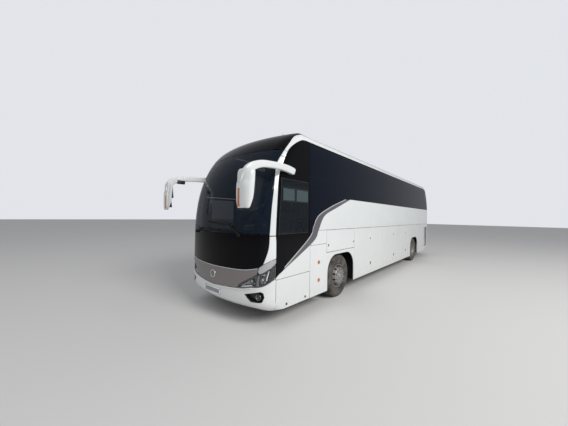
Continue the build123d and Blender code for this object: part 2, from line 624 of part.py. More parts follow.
pod = side_prism(along([(3000, 3700), (3060, 3830), (3260, 3880), (5700, 3880), (5900, 3830),
                        (5950, 3700)]), -680, 680)
keep("roof_ac_pod", pod - section_prism())

# Cab and saloon
DASH = ((-2590, CAB_FLOOR_Z), (-2590, 1590), (-2480, 1640), (-2190, 1570), (-2120, 1430),
        (-2160, 1380), (-2260, 1330), (-2330, CAB_FLOOR_Z))
HAND_WHEEL_R = 225
GRIP_R = 17
dash = side_prism(along(DASH), -380, 900)
wheel_at = Pos(620, FRONT_AXLE_Y - 2010, 1690) * Rot(-28, 0, 0)
grip = [(HAND_WHEEL_R + GRIP_R * cos(radians(45 * n)), 0, GRIP_R * sin(radians(45 * n)))
        for n in range(8)]
dash += wheel_at * revolve(Face(Wire.make_polygon(grip)), Axis.Z, 360)
dash += wheel_at * Pos(0, 0, -120) * Cylinder(28, 260)
dash += wheel_at * (Box(2 * HAND_WHEEL_R - 20, 40, 14) + Cylinder(70, 30))
keep("dashboard", dash)


def seat(x0, x1, y, floor, rake_back):
    """A seat: pedestal, cushion, leaning back with a headrest."""
    base = block(x0 + 60, x1 - 60, y + 60, y + 380, floor, floor + 330)
    cushion = block(x0, x1, y, y + 470, floor + 330, floor + 450)
    back = side_prism([(y + 400, floor + 420), (y + 400 + rake_back, floor + 1120),
                       (y + 480 + rake_back, floor + 1120), (y + 520, floor + 420)], x0 + 8, x1 - 8)
    return base + cushion + back


keep("driver_seat", seat(370, 870, FRONT_AXLE_Y - 1780, CAB_FLOOR_Z, 90))
rows = [-820 + SEAT_PITCH * n for n in range(SEAT_ROWS)]
keep("seats_left", *[seat(270, 1190, FRONT_AXLE_Y + y, DECK_Z, 110) for y in rows])
right_rows = [y for y in rows if y + 650 < MID_DOOR[0] - 40 or y > MID_DOOR[1] + 40]
keep("seats_right", *[seat(-1190, -270, FRONT_AXLE_Y + y, DECK_Z, 110) for y in right_rows])
rack = block(720, 1170, FRONT_AXLE_Y - 700, FRONT_AXLE_Y + 9300, 3060, 3130)
keep("parcel_racks", both_sides(rack))

# Passenger doors: a leaf on one swinging arm that keeps it parallel to the side
DOORS = {
    # name: span, end of the doorway where the arm's post stands
    "front": (FRONT_DOOR, 1),
    "mid": (MID_DOOR, -1),
}
for name, (span, way) in DOORS.items():
    edge = FRONT_AXLE_Y + (span[0] if way > 0 else span[1])
    post_y = edge + way * DOOR_POST
    grip_y = post_y + way * DOOR_ARM
    leaf = panel(*span, DOOR_SILL_Z, DOOR_TOP_Z, False, WALL - 5, SEAM)
    for level in (1365, 1435):
        leaf += block(-1232, DOOR_POST_X + 30, grip_y - 40, grip_y + 40, level - 12, level + 12)
    leaf += rod(DOOR_POST_X, grip_y, 1400, 12, 90, "Z")
    keep(name + "_door_leaf", leaf)
    arm = rod(DOOR_POST_X, post_y, 1330, 26, 1900, "Z")
    swan_neck = [(-20, -20), (10, 92), (150, 132), (DOOR_ARM, 30), (DOOR_ARM, -30), (150, 76),
                 (64, 62), (22, -20)]
    outline = [(DOOR_POST_X + v, post_y + way * u, 1380) for u, v in swan_neck]
    web = extrude(Face(Wire.make_polygon(outline)), amount=40, dir=(0, 0, 1))
    arm += web + rod(DOOR_POST_X, grip_y, 1400, 32, 40, "Z")
    arm -= rod(DOOR_POST_X, grip_y, 1400, 17, 60, "Z")
    keep(name + "_door_arm", arm)


# Mirrors: a flat, thick arm from the side, bent down into its housing
def rounded_at(place, direction, wide, tall):
    """A rounded rectangle standing across a line, from half its width along X and half its height."""
    across = Plane(origin=place, x_dir=(1, 0, 0), z_dir=direction)
    shape = across * RectangleRounded(2 * wide, 2 * tall, 0.62 * min(wide, tall))
    return shape.faces()[0].outer_wire()


MIRROR_ARM = (
    # x, y from the front axle, z, direction, half width, half height
    (1278, -1850, 2775, (0.1, -1, 0.25), 26, 48),
    (1322, -2120, 2842, (0.16, -1, 0.16), 40, 76),
    (1372, -2600, 2862, (0.08, -1, 0), 44, 76),
    (1398, -2930, 2822, (0.03, -1, -0.45), 46, 74),
    (1403, -3035, 2755, (0, -1, -1), 48, 70),
    (1405, -3100, 2670, (0, -0.4, -1), 52, 58),
    (1405, -3135, 2560, (0, -0.1, -1), 56, 48),
)
MIRROR_SHELL = (
    # z, half width, half depth, set back
    (2700, 45, 40, 0),
    (2640, 95, 62, 0),
    (2480, 122, 78, 0),
    (2240, 116, 74, 10),
    (2130, 96, 58, 16),
    (2096, 60, 34, 20),
)
arm_rings = [rounded_at((x, FRONT_AXLE_Y + y, z), way, wide, tall)
             for x, y, z, way, wide, tall in MIRROR_ARM]
shell_rings = [rounded_at((1405, FRONT_AXLE_Y - 3140 + back, z), (0, 0, 1), wide, deep)
               for z, wide, deep, back in MIRROR_SHELL]
arm = Solid.make_loft(arm_rings, ruled=True)
housing = Solid.make_loft(shell_rings, ruled=True)
mirror_left = arm.fuse(housing) - upper_form()
keep("mirror_left", mirror_left)
keep("mirror_right", mirror(mirror_left, about=Plane.YZ))


# Wipers: a pivot on the black panel, an arm, and a blade that follows the bowed glass
def bar(x0, z0, x1, z1, width):
    """A straight strip of the front, between two points in (x, z)."""
    run = sqrt((x1 - x0) ** 2 + (z1 - z0) ** 2)
    dx, dz = (x1 - x0) * width / 2 / run, (z1 - z0) * width / 2 / run
    corners = [(x0 - dz, z0 + dx), (x1 - dz, z1 + dx), (x1 + dz, z1 - dx), (x0 + dz, z0 - dx)]
    return front_prism(corners, NOSE_Y - 100, NOSE_Y + 400)


WIPERS = (
    # pivot, end of the arm, blade's two ends, each as x and z
    ((714, 1633), (440, 1838), (640, 1800), (-226, 1862)),
    ((-800, 1628), (-470, 1716), (-640, 1708), (180, 1722)),
)
PIVOT_R = 26
WIPER_LIFT = (10, 26)
glass_face = upper_form()
under_wiper = upper_form(-WIPER_LIFT[0])
over_wiper = upper_form(-WIPER_LIFT[1])
wipers = []
for pivot, elbow, tip_a, tip_b in WIPERS:
    wiper = (bar(*pivot, *elbow, 34) + bar(*tip_a, *tip_b, 26)) & over_wiper
    wiper -= under_wiper
    skin_y = NOSE_Y + pivot[0] ** 2 / 2 / NOSE_R
    stub = rod(pivot[0], skin_y + 15, pivot[1], PIVOT_R, 110, "Y") - glass_face
    wipers.append(wiper + stub)
keep("wipers", *wipers)

for name, solid in solids.items():
    export_step(solid, f"parts/{name}.step")
    print(name, len(solid.solids()))
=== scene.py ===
import json
from math import cos, hypot, pi, radians, sin

import bmesh
import bpy
import numpy as np
from mathutils import Matrix, Vector
from mathutils.geometry import delaunay_2d_cdt

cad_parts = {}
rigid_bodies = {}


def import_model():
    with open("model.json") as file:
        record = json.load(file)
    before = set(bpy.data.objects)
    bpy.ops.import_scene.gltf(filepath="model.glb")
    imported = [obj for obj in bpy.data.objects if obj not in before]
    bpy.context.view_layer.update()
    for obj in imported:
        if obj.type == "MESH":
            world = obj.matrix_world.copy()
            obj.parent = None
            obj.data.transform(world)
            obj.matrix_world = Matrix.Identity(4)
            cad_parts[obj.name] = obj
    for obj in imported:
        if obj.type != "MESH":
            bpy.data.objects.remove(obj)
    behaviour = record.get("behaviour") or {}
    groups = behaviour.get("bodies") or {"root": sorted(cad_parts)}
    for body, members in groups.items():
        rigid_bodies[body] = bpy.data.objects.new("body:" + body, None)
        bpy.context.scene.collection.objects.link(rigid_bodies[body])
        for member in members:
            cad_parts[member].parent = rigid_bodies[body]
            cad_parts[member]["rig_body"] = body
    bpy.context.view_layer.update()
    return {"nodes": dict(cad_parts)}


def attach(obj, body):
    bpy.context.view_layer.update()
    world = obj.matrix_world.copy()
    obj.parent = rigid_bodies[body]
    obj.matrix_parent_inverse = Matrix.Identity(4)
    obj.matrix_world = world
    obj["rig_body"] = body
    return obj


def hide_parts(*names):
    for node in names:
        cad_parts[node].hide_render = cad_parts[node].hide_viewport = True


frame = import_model()
nodes = frame["nodes"]

# Yard and camera
# The coach stands on a pale paved yard in soft, even light. The camera stands where the
# photographer stood, three metres off the front left corner with a very wide lens.
AXLE = -3.497
YAW, PITCH, ROLL = radians(41.685), radians(0.7272), radians(0.9309)
LENS_PIXELS, PHOTO_WIDTH, SENSOR_WIDTH = 239.234, 568, 36
EYE_PLACE = (4.1997, AXLE - 5.4316, 1.9934)
YARD_REACH, YARD_Z = 90, -0.002

ahead = Vector((-sin(YAW) * cos(PITCH), cos(YAW) * cos(PITCH), sin(PITCH)))
level = Vector((cos(YAW), sin(YAW), 0))
upright = level.cross(ahead)
right = level * cos(ROLL) + upright * sin(ROLL)
upward = upright * cos(ROLL) - level * sin(ROLL)
eye = bpy.data.cameras.new("camera")
eye.sensor_width = SENSOR_WIDTH
eye.lens = LENS_PIXELS / PHOTO_WIDTH * SENSOR_WIDTH
eye.clip_end = 400
camera = bpy.data.objects.new("camera", eye)
camera.matrix_world = Matrix((
    (right.x, upward.x, -ahead.x, EYE_PLACE[0]),
    (right.y, upward.y, -ahead.y, EYE_PLACE[1]),
    (right.z, upward.z, -ahead.z, EYE_PLACE[2]),
    (0, 0, 0, 1)))
bpy.context.collection.objects.link(camera)
bpy.context.scene.camera = camera
bpy.context.scene.view_settings.view_transform = "Standard"


def shader(name):
    """A new material, with its node tree and its one Principled shader."""
    made = bpy.data.materials.new(name)
    made.use_nodes = True
    return made, made.node_tree, made.node_tree.nodes["Principled BSDF"]


def feed(tree, node, inputs):
    """Set a node's inputs to values, or join them to sockets."""
    for name, value in inputs.items():
        if isinstance(value, bpy.types.NodeSocket):
            tree.links.new(value, node.inputs[name])
        else:
            node.inputs[name].default_value = value


def add(tree, kind, inputs, out=0, **settings):
    """A new node, set and fed. Gives the output that is asked for."""
    made = tree.nodes.new(kind)
    for name, value in settings.items():
        setattr(made, name, value)
    feed(tree, made, inputs)
    return made.outputs[out]


yard_corners = [(x * YARD_REACH, y * YARD_REACH, YARD_Z) for x, y in ((-1, -1), (1, -1), (1, 1), (-1, 1))]
yard_mesh = bpy.data.meshes.new("yard")
yard_mesh.from_pydata(yard_corners, [], [(0, 1, 2, 3)])
yard = bpy.data.objects.new("yard", yard_mesh)
bpy.context.collection.objects.link(yard)
paving, tree, surface = shader("pale_paving")
feed(tree, surface, {"Base Color": (0.74, 0.73, 0.71, 1), "Roughness": 0.9})
yard_mesh.materials.append(paving)

world = bpy.data.worlds.new("studio")
bpy.context.scene.world = world
world.use_nodes = True
air = world.node_tree
rays = air.nodes.new("ShaderNodeLightPath").outputs
seen = add(air, "ShaderNodeMath", {0: rays["Is Camera Ray"], 1: rays["Is Transmission Ray"]},
           operation="MAXIMUM")
strength = add(air, "ShaderNodeMapRange", {"Value": seen, "To Min": 0.42, "To Max": 0.82})
feed(air, air.nodes["Background"], {"Color": (0.93, 0.95, 1.0, 1), "Strength": strength})

for name, place, aim, size, power in (
        ("side_light", (17, -6, 13), (0, 0, 1.5), 9, 2700),
        ("nose_light", (-4, -19, 9), (0, -5, 1.5), 8, 130)):
    lamp = bpy.data.lights.new(name, "AREA")
    lamp.size = size
    lamp.energy = power
    holder = bpy.data.objects.new(name, lamp)
    holder.location = place
    holder.rotation_euler = (Vector(aim) - Vector(place)).to_track_quat("-Z", "Y").to_euler()
    bpy.context.collection.objects.link(holder)


# Windscreen
# One bowed pane of laminated, tinted glass, bonded to the frame behind a printed black border.
# It takes the form of the raked nose, as all the outer panels do.
NOSE_TIP, TAIL_TIP = AXLE - 2.8, AXLE + 10.2
HALF_WIDTH, HEIGHT = 1.275, 3.8
BELT, CANT = 2.46, 3.53
CANT_ROUND, CANT_X, CROWN_X = 0.22, 1.015, 1.0512
CROWN_R = 10.454
CROWN_Z = HEIGHT - CROWN_R


def lean(z, start, amount):
    """How far an end leans in at a height."""
    t = np.clip((z - start) / (HEIGHT - start), 0, 1)
    return amount * (1 - np.sqrt(1 - t ** 2.3))


def end_gap(x, y, z, end):
    """Distance outside the bowed nose (-1) or tail (1), and which points lie past its corners."""
    wide = HALF_WIDTH - 0.04 * np.maximum(0, z - BELT) / 1.07
    if end < 0:
        bow, corner = 3.5, 0.35
        tip = NOSE_TIP + lean(z, 1.5, 1.45) + 0.24 * np.clip((0.56 - z) / 0.28, 0, 1) ** 2.9
    else:
        bow, corner = 7.0, 0.25
        tip = TAIL_TIP - lean(z, 2.3, 1.1)
    bow_y = (tip - end * bow) * end
    reach = np.sqrt((bow - corner) ** 2 - (wide - corner) ** 2)
    out = y * end - bow_y
    past = out > reach
    round_gap = np.hypot(x - (wide - corner), out - reach) - corner
    bow_gap = np.hypot(x, out) - bow
    return np.where(x * reach < out * (wide - corner), bow_gap, round_gap), past, x - wide


def outside(p):
    """How far points lie outside the coach's skin, negative inside."""
    x, y, z = np.abs(p[:, 0]), p[:, 1], p[:, 2]
    nose, past_nose, flank = end_gap(x, y, z, -1)
    tail, past_tail, flank = end_gap(x, y, z, 1)
    plan = np.where(past_nose, nose, np.where(past_tail, tail, flank))
    cant = np.hypot(x - CANT_X, z - CANT) - CANT_ROUND
    crown = np.hypot(x, z - CROWN_Z) - CROWN_R
    roof = np.where(z < CANT, flank, np.where(x > CROWN_X, cant, crown))
    return np.maximum(plan, roof)


def hit(start, way):
    """Where rays from inside meet the skin."""
    near = np.zeros(len(start))
    far = np.full(len(start), 8.0)
    for step in range(34):
        middle = (near + far) / 2
        beyond = outside(start + way * middle[:, None]) > 0
        far = np.where(beyond, middle, far)
        near = np.where(beyond, near, middle)
    return start + way * near[:, None]


def skin_normals(p, reach=0.012):
    """Outward directions of the skin, softened a little across its creases."""
    slopes = []
    for axis in range(3):
        step = np.zeros(3)
        step[axis] = reach
        slopes.append(outside(p + step) - outside(p - step))
    n = np.stack(slopes, axis=1)
    return n / np.linalg.norm(n, axis=1)[:, None]


def dense(points, step=0.04):
    """More points along a line of straight runs."""
    line = []
    for a, b in zip(points[:-1], points[1:]):
        count = max(1, int(round(hypot(b[0] - a[0], b[1] - a[1]) / step)))
        line += [(a[0] + (b[0] - a[0]) * k / count, a[1] + (b[1] - a[1]) * k / count) for k in range(count)]
    return line + [points[-1]]


def curve(points, step=0.03):
    """A smooth line through points."""
    ends = [points[0], *points, points[-1]]
    line = []
    for a, b, c, d in zip(ends[:-3], ends[1:-2], ends[2:-1], ends[3:]):
        count = max(1, int(round(hypot(c[0] - b[0], c[1] - b[1]) / step)))
        for k in range(count):
            t = k / count
            line.append(tuple(0.5 * (2 * b[i] + (c[i] - a[i]) * t
                                     + (2 * a[i] - 5 * b[i] + 4 * c[i] - d[i]) * t * t
                                     + (3 * b[i] - a[i] - 3 * c[i] + d[i]) * t ** 3) for i in (0, 1)))
    return line + [points[-1]]


def on_side(points, side=1):
    """Points of the skin seen from the side, as (behind the front axle, height)."""
    start = np.array([(0, AXLE + y, z) for y, z in points])
    return hit(start, np.tile((side, 0.0, 0.0), (len(start), 1)))


def on_end(points, end=-1):
    """Points of the skin seen from the front or the back, as (across, height)."""
    middle = AXLE - 1.0 if end < 0 else AXLE + 8.6
    start = np.array([(x, middle, z) for x, z in points])
    return hit(start, np.tile((0.0, end, 0.0), (len(start), 1)))


def on_top(points):
    """Points of the skin seen from above, as (across, behind the front axle)."""
    start = np.array([(x, AXLE + y, 3.2) for x, y in points])
    return hit(start, np.tile((0.0, 0.0, 1.0), (len(start), 1)))


def mirror_points(p):
    """The same line on the other side, drawn the other way."""
    return p[::-1] * np.array((-1, 1, 1))


class Sheet:
    """A flat drawing of part of the skin, and the rays that wrap it on."""

    def __init__(self, kind):
        self.kind = kind
        self.centre = {"nose": (0, AXLE - 1.15, 1.9), "tail": (0, AXLE + 8.9, 1.9)}.get(kind)

    def flat(self, p):
        if self.kind in ("left", "right"):
            return p[:, 1:3].copy()
        if self.kind == "roof":
            return np.stack((np.arctan2(p[:, 0], p[:, 2] - 2.6) * 1.2, p[:, 1]), axis=1)
        v = p - self.centre
        turn = -1 if self.kind == "nose" else 1
        lon = np.arctan2(v[:, 0], v[:, 1] * turn)
        lat = np.arcsin(v[:, 2] / np.linalg.norm(v, axis=1))
        return np.stack((lon, lat), axis=1) * 1.7

    def wrap(self, uv):
        zero = np.zeros(len(uv))
        if self.kind in ("left", "right"):
            way = 1.0 if self.kind == "left" else -1.0
            return hit(np.stack((zero, uv[:, 0], uv[:, 1]), axis=1), np.tile((way, 0.0, 0.0), (len(uv), 1)))
        if self.kind == "roof":
            a = uv[:, 0] / 1.2
            return hit(np.stack((zero, uv[:, 1], zero + 2.6), axis=1),
                       np.stack((np.sin(a), zero, np.cos(a)), axis=1))
        lon, lat = uv[:, 0] / 1.7, uv[:, 1] / 1.7
        turn = -1 if self.kind == "nose" else 1
        way = np.stack((np.sin(lon) * np.cos(lat), turn * np.cos(lon) * np.cos(lat), np.sin(lat)), axis=1)
        return hit(np.tile(self.centre, (len(uv), 1)), way)


def turn_sign(loop):
    x, y = loop[:, 0], loop[:, 1]
    return np.sign(np.sum(x * np.roll(y, -1) - y * np.roll(x, -1)))


def shrink(loop, amount):
    """A closed loop drawn in by an amount, square across its corners."""
    before, after = np.roll(loop, 1, axis=0), np.roll(loop, -1, axis=0)
    a = loop - before
    b = after - loop
    a /= np.linalg.norm(a, axis=1)[:, None]
    b /= np.linalg.norm(b, axis=1)[:, None]
    na = np.stack((-a[:, 1], a[:, 0]), axis=1)
    nb = np.stack((-b[:, 1], b[:, 0]), axis=1)
    mid = na + nb
    mid /= np.maximum(0.35, np.sum(mid * na, axis=1))[:, None]
    return loop + mid * amount * turn_sign(loop)


def inside(points, loops):
    """Which points lie inside the outer loop and outside the holes."""
    found = np.zeros(len(points), bool)
    for loop in loops:
        a, b = loop, np.roll(loop, -1, axis=0)
        for p, q in zip(a, b):
            between = (p[1] > points[:, 1]) != (q[1] > points[:, 1])
            if p[1] != q[1]:
                cross = (q[0] - p[0]) * (points[:, 1] - p[1]) / (q[1] - p[1]) + p[0]
                found ^= between & (points[:, 0] < cross)
    return found


def tidy_loop(p, least=0.004):
    """Drop points that lie on their neighbour."""
    keep = [0]
    for k in range(1, len(p)):
        if np.linalg.norm(p[k] - p[keep[-1]]) > least:
            keep.append(k)
    if np.linalg.norm(p[keep[-1]] - p[0]) < least:
        keep.pop()
    return p[keep]


def skin_mesh(sheet, outer, holes=(), thick=0.012, gap=0.003, step=0.07, edge=0.0025, sunk=0.0,
              finish=0):
    """A panel of the skin: smooth face, softened rim, flat back."""
    loops = []
    for k, loop in enumerate((outer, *holes)):
        flat = tidy_loop(sheet.flat(loop))
        if (turn_sign(flat) > 0) != (k == 0):
            flat = flat[::-1]
        loops.append(flat)
    way = [1] + [-1] * len(holes)
    rims = [shrink(loop, gap * w) for loop, w in zip(loops, way)]
    faces_in = [shrink(loop, (gap + edge) * w) for loop, w in zip(loops, way)]
    low, high = loops[0].min(0), loops[0].max(0)
    grid = []
    rows = int((high[1] - low[1]) / (step * 0.87)) + 1
    for r in range(rows):
        v = low[1] + (r + 0.5) * (high[1] - low[1]) / rows
        start = low[0] + (0.5 * step if r % 2 else 0)
        grid += [(u, v) for u in np.arange(start, high[0], step)]
    grid = np.array(grid) if grid else np.zeros((0, 2))
    grid = grid[inside(grid, loops)]
    border = np.concatenate(faces_in)
    if len(grid):
        apart = np.array([np.min(np.hypot(*(border - g).T)) for g in grid])
        grid = grid[apart > step * 0.45]
    flat = np.concatenate((border, grid))
    links, first = [], 0
    for loop in faces_in:
        count = len(loop)
        links += [(first + k, first + (k + 1) % count) for k in range(count)]
        first += count
    points, _, triangles, origin, _, _ = delaunay_2d_cdt([Vector(p) for p in flat], links, [], 0, 1e-6)
    flat_out = np.array([tuple(p) for p in points])
    place = {source: k for k, sources in enumerate(origin) for source in sources}
    triangles = np.array([tuple(t) for t in triangles if len(t) == 3])
    middle = flat_out[triangles].mean(1)
    triangles = triangles[inside(middle, faces_in)]
    a, b, c = (flat_out[triangles[:, k]] for k in range(3))
    cross = (b[:, 0] - a[:, 0]) * (c[:, 1] - a[:, 1]) - (b[:, 1] - a[:, 1]) * (c[:, 0] - a[:, 0])
    top = sheet.wrap(flat_out)
    normals = skin_normals(top)
    first_a, first_b, first_c = (top[k] for k in triangles[0])
    if np.dot(np.cross(first_b - first_a, first_c - first_a), normals[triangles[0][0]]) * cross[0] < 0:
        cross = -cross
    triangles = np.where((cross < 0)[:, None], triangles[:, ::-1], triangles)
    total = len(top)
    faces = [tuple(t) for t in triangles] + [tuple(int(total + k) for k in t[::-1]) for t in triangles]
    points3 = [top - normals * sunk, top - normals * (thick + sunk)]
    normals3 = [normals, -normals]
    first, base = 0, 2 * total
    for loop, rim in zip(faces_in, rims):
        count = len(loop)
        lip = sheet.wrap(rim)
        lip_n = skin_normals(lip)
        ring = np.array([place[first + k] for k in range(count)])
        outward = lip - top[ring]
        outward -= lip_n * np.sum(outward * lip_n, axis=1)[:, None]
        outward /= np.maximum(1e-9, np.linalg.norm(outward, axis=1))[:, None]
        points3.append(lip - lip_n * (edge + sunk))
        normals3.append(outward)
        for k in range(count):
            n = (k + 1) % count
            t0, t1 = int(ring[k]), int(ring[n])
            faces.append((t0, base + k, base + n, t1))
            faces.append((base + k, total + t0, total + t1, base + n))
        first += count
        base += count
    points3, normals3 = np.concatenate(points3), np.concatenate(normals3)
    flat_count = 2 * len(triangles)
    side = faces[flat_count]
    p = points3[list(side)]
    if np.dot(np.cross(p[1] - p[0], p[2] - p[0]), normals3[side[0]] + normals3[side[1]]) < 0:
        faces = faces[:flat_count] + [f[::-1] for f in faces[flat_count:]]
    return points3, faces, normals3, finish


def make_piece(name, parts, finishes):
    """One object from several (points, faces, normals, finish number)."""
    points, faces, normals, numbers, base = [], [], [], [], 0
    for p, f, n, number in parts:
        points.append(p)
        normals.append(n)
        faces += [tuple(k + base for k in face) for face in f]
        numbers += [number] * len(f)
        base += len(p)
    mesh = bpy.data.meshes.new(name)
    mesh.from_pydata(np.concatenate(points).tolist(), [], faces)
    for finish in finishes:
        mesh.materials.append(finish)
    mesh.polygons.foreach_set("material_index", numbers)
    mesh.polygons.foreach_set("use_smooth", [True] * len(faces))
    mesh.set_sharp_from_angle(angle=radians(38))
    mesh.normals_split_custom_set_from_vertices(np.concatenate(normals).tolist())
    piece = bpy.data.objects.new(name, mesh)
    bpy.context.collection.objects.link(piece)
    return piece


def flipped(part):
    """A part's mirror image across the coach."""
    p, f, n, number = part
    across = np.array((-1, 1, 1))
    return p * across, [face[::-1] for face in f], n * across, number


def stand_for(piece, slot, *names):
    """The piece takes the place of CAD nodes and moves with their body."""
    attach(piece, nodes[names[0]]["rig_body"])
    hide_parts(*names)


def pattern(tree, kind, scale, out="Fac", **more):
    """A texture that runs through the coach's own space."""
    place = add(tree, "ShaderNodeTexCoord", {}, "Object")
    return add(tree, "ShaderNodeTex" + kind, {"Vector": place, "Scale": scale, **more}, out)


def glass(name, colour, cover, rough=0.03, shine=0.5):
    """Tinted glass: a dark film that lets some light by, faintly streaked."""
    made, tree, surface = shader(name)
    streaks = pattern(tree, "Noise", 1.7, Detail=4)
    dull = add(tree, "ShaderNodeMapRange", {"Value": streaks, "To Min": rough, "To Max": rough + 0.05})
    feed(tree, surface, {"Base Color": (*colour, 1), "Alpha": cover, "Roughness": dull,
                         "Specular IOR Level": shine, "IOR": 1.5})
    return made


def blend(tree, first, second, share):
    """One colour passing into another."""
    return add(tree, "ShaderNodeMix", {"A": first, "B": second, "Factor": share}, "Result", data_type="RGBA")


def product(tree, first, second):
    return add(tree, "ShaderNodeMath", {0: first, 1: second}, operation="MULTIPLY")


def relief(tree, height, strength, depth):
    """The slopes of a surface raised by a pattern."""
    return add(tree, "ShaderNodeBump", {"Height": height, "Strength": strength, "Distance": depth}, "Normal")


ROAD_DUST = (0.36, 0.29, 0.21, 1)


def paint(name, colour, rough=0.25, metal=0.0, shine=0.5, dust=0.0, coat=0.0):
    """Sprayed paint: faint orange peel, small shifts of tone, road dust low down and to the rear."""
    made, tree, surface = shader(name)
    darker, lighter = (*[c * 0.94 for c in colour], 1), (*[min(1, c * 1.04) for c in colour], 1)
    tone = blend(tree, darker, lighter, pattern(tree, "Noise", 1.3, Detail=5))
    if dust:
        place = add(tree, "ShaderNodeTexCoord", {}, "Object")
        height, length = (add(tree, "ShaderNodeSeparateXYZ", {"Vector": place}, axis) for axis in "ZY")
        low = add(tree, "ShaderNodeMapRange", {"Value": height, "From Min": 1.5, "From Max": 0.25})
        back = add(tree, "ShaderNodeMapRange",
                   {"Value": length, "From Min": -4.5, "From Max": 5.5, "To Min": 0.25})
        spots = pattern(tree, "Noise", 9, Detail=8)
        share = product(tree, product(tree, product(tree, low, back), spots), dust * 2)
        tone = blend(tree, tone, ROAD_DUST, share)
        rough = add(tree, "ShaderNodeMapRange", {"Value": share, "To Min": rough, "To Max": 0.75})
    feed(tree, surface, {"Base Color": tone, "Roughness": rough, "Metallic": metal,
                         "Specular IOR Level": shine, "Coat Weight": coat, "Coat Roughness": 0.04,
                         "Normal": relief(tree, pattern(tree, "Noise", 90), 0.02, 0.002)})
    return made


PILLAR_FRONT = ((-2.474, 1.640), (-2.430, 2.150), (-2.342, 2.663), (-2.262, 2.951), (-2.130, 3.160),
                (-1.960, 3.370), (-1.733, 3.600), (-1.500, 3.690), (-1.150, 3.745))
PILLAR_REAR = ((-2.330, 1.490), (-2.345, 1.640), (-2.325, 2.150), (-2.268, 2.673), (-2.145, 2.972),
               (-1.986, 3.254), (-1.800, 3.420), (-1.600, 3.530), (-1.450, 3.560))
SCREEN_TOP, SCREEN_TOP_X, SCREEN_FOOT, SCREEN_FOOT_X = 3.255, 1.0, 1.660, 1.23
BORDER_WIDTH = 0.075
pillar_line = curve(PILLAR_FRONT)


def span(line, low=-99, high=99, axis=0, rise=0.0):
    """The points of a line that lie between two levels, raised if asked."""
    return [(a, b + rise) for a, b in line if low < (a, b)[axis] < high]


def symmetric(*lines):
    """A closed loop from the lines of its left half, which starts and ends on the middle."""
    left = np.concatenate(lines)
    return np.concatenate((left, mirror_points(left)))


def drawn_in(sheet, loop, amount):
    """A closed line on the skin, drawn in by an amount."""
    return sheet.wrap(shrink(sheet.flat(tidy_loop(loop)), amount))


nose_sheet, left_sheet, tail_sheet, roof_sheet = (Sheet(kind) for kind in ("nose", "left", "tail", "roof"))
screen_loop = symmetric(
    on_end(dense([(0, SCREEN_FOOT), (SCREEN_FOOT_X, SCREEN_FOOT)])),
    on_side(span(pillar_line, high=SCREEN_TOP, axis=1)),
    on_end(dense([(SCREEN_TOP_X, SCREEN_TOP), (0, SCREEN_TOP)])))
screen_glass = glass("windscreen_glass", (0.006, 0.013, 0.026), 0.58, shine=0.25)
border_black = paint("printed_border", (0.004, 0.004, 0.005), rough=0.2)
windscreen = make_piece("windscreen", [
    skin_mesh(nose_sheet, screen_loop, thick=0.008),
    skin_mesh(nose_sheet, screen_loop, [drawn_in(nose_sheet, screen_loop, BORDER_WIDTH)], thick=0.006,
              sunk=0.011, finish=1)], [screen_glass, border_black])
stand_for(windscreen, "dark_glass", "windshield")

# Roof cap over the windscreen
# A moulded visor in gloss black, bonded between the white arcs and running back to the roof.
CAP_REAR, CAP_REAR_X, CAP_SIDE_Z = -1.15, 1.03, 3.70
black_gloss = paint("black_gloss_paint", (0.003, 0.003, 0.004), rough=0.06, shine=0.10)
cap_loop = symmetric(
    on_end(dense([(0, SCREEN_TOP), (SCREEN_TOP_X, SCREEN_TOP)])),
    on_side(span(pillar_line, low=SCREEN_TOP, axis=1)),
    on_top(dense([(CAP_REAR_X, CAP_REAR), (0, CAP_REAR)])))
cap = make_piece("roof_cap", [skin_mesh(nose_sheet, cap_loop, thick=0.03)], [black_gloss])
stand_for(cap, "black_gloss", "front_roof_cap")

# Black panel below the windscreen
# The service lid over the wiper linkage, gloss black with round lower corners.
BLACK_TOP_X = 1.236
BLACK_EDGE = ((0, 1.008), (0.70, 1.020), (0.958, 1.048), (1.089, 1.080), (1.151, 1.117), (1.170, 1.137),
              (1.200, 1.248), (1.224, 1.374), (1.234, 1.500), (BLACK_TOP_X, SCREEN_FOOT))
black_edge = curve(BLACK_EDGE)
black_loop = symmetric(on_end(black_edge), on_end(dense([(BLACK_TOP_X, SCREEN_FOOT), (0, SCREEN_FOOT)])))
black_panel = make_piece("service_lid", [skin_mesh(nose_sheet, black_loop, thick=0.02)], [black_gloss])
stand_for(black_panel, "black_gloss", "front_black_panel")

# White cheeks and pillars
# Glass-fibre mouldings in body white: broad cheeks over the headlamps, narrowing to pillars that
# sweep back into the cantrail. The pillar is split from the cheek by an open seam.
SILVER_TOP = ((1.170, 1.137), (1.215, 1.170), (1.250, 1.202), (1.2735, 1.229))
PILLAR_SPLIT, NOSE_SEAM, GLASS_TOP = 1.632, -2.330, 3.560
# Two short open seams across each pillar, from front to rear
PILLAR_SEAMS = (((-2.118, 3.290), (-1.998, 3.216)), ((-2.176, 3.128), (-2.078, 3.106)))
SEAM_REAR_SHIFT, SEAM_WIDTH = 0.002, 0.009


def closed(points, step=0.04):
    """More points round a closed line of straight runs."""
    return dense([*points, points[0]], step)[:-1]


def both_sides(parts):
    """Parts and their mirror images across the coach."""
    return [*parts, *[flipped(part) for part in parts]]


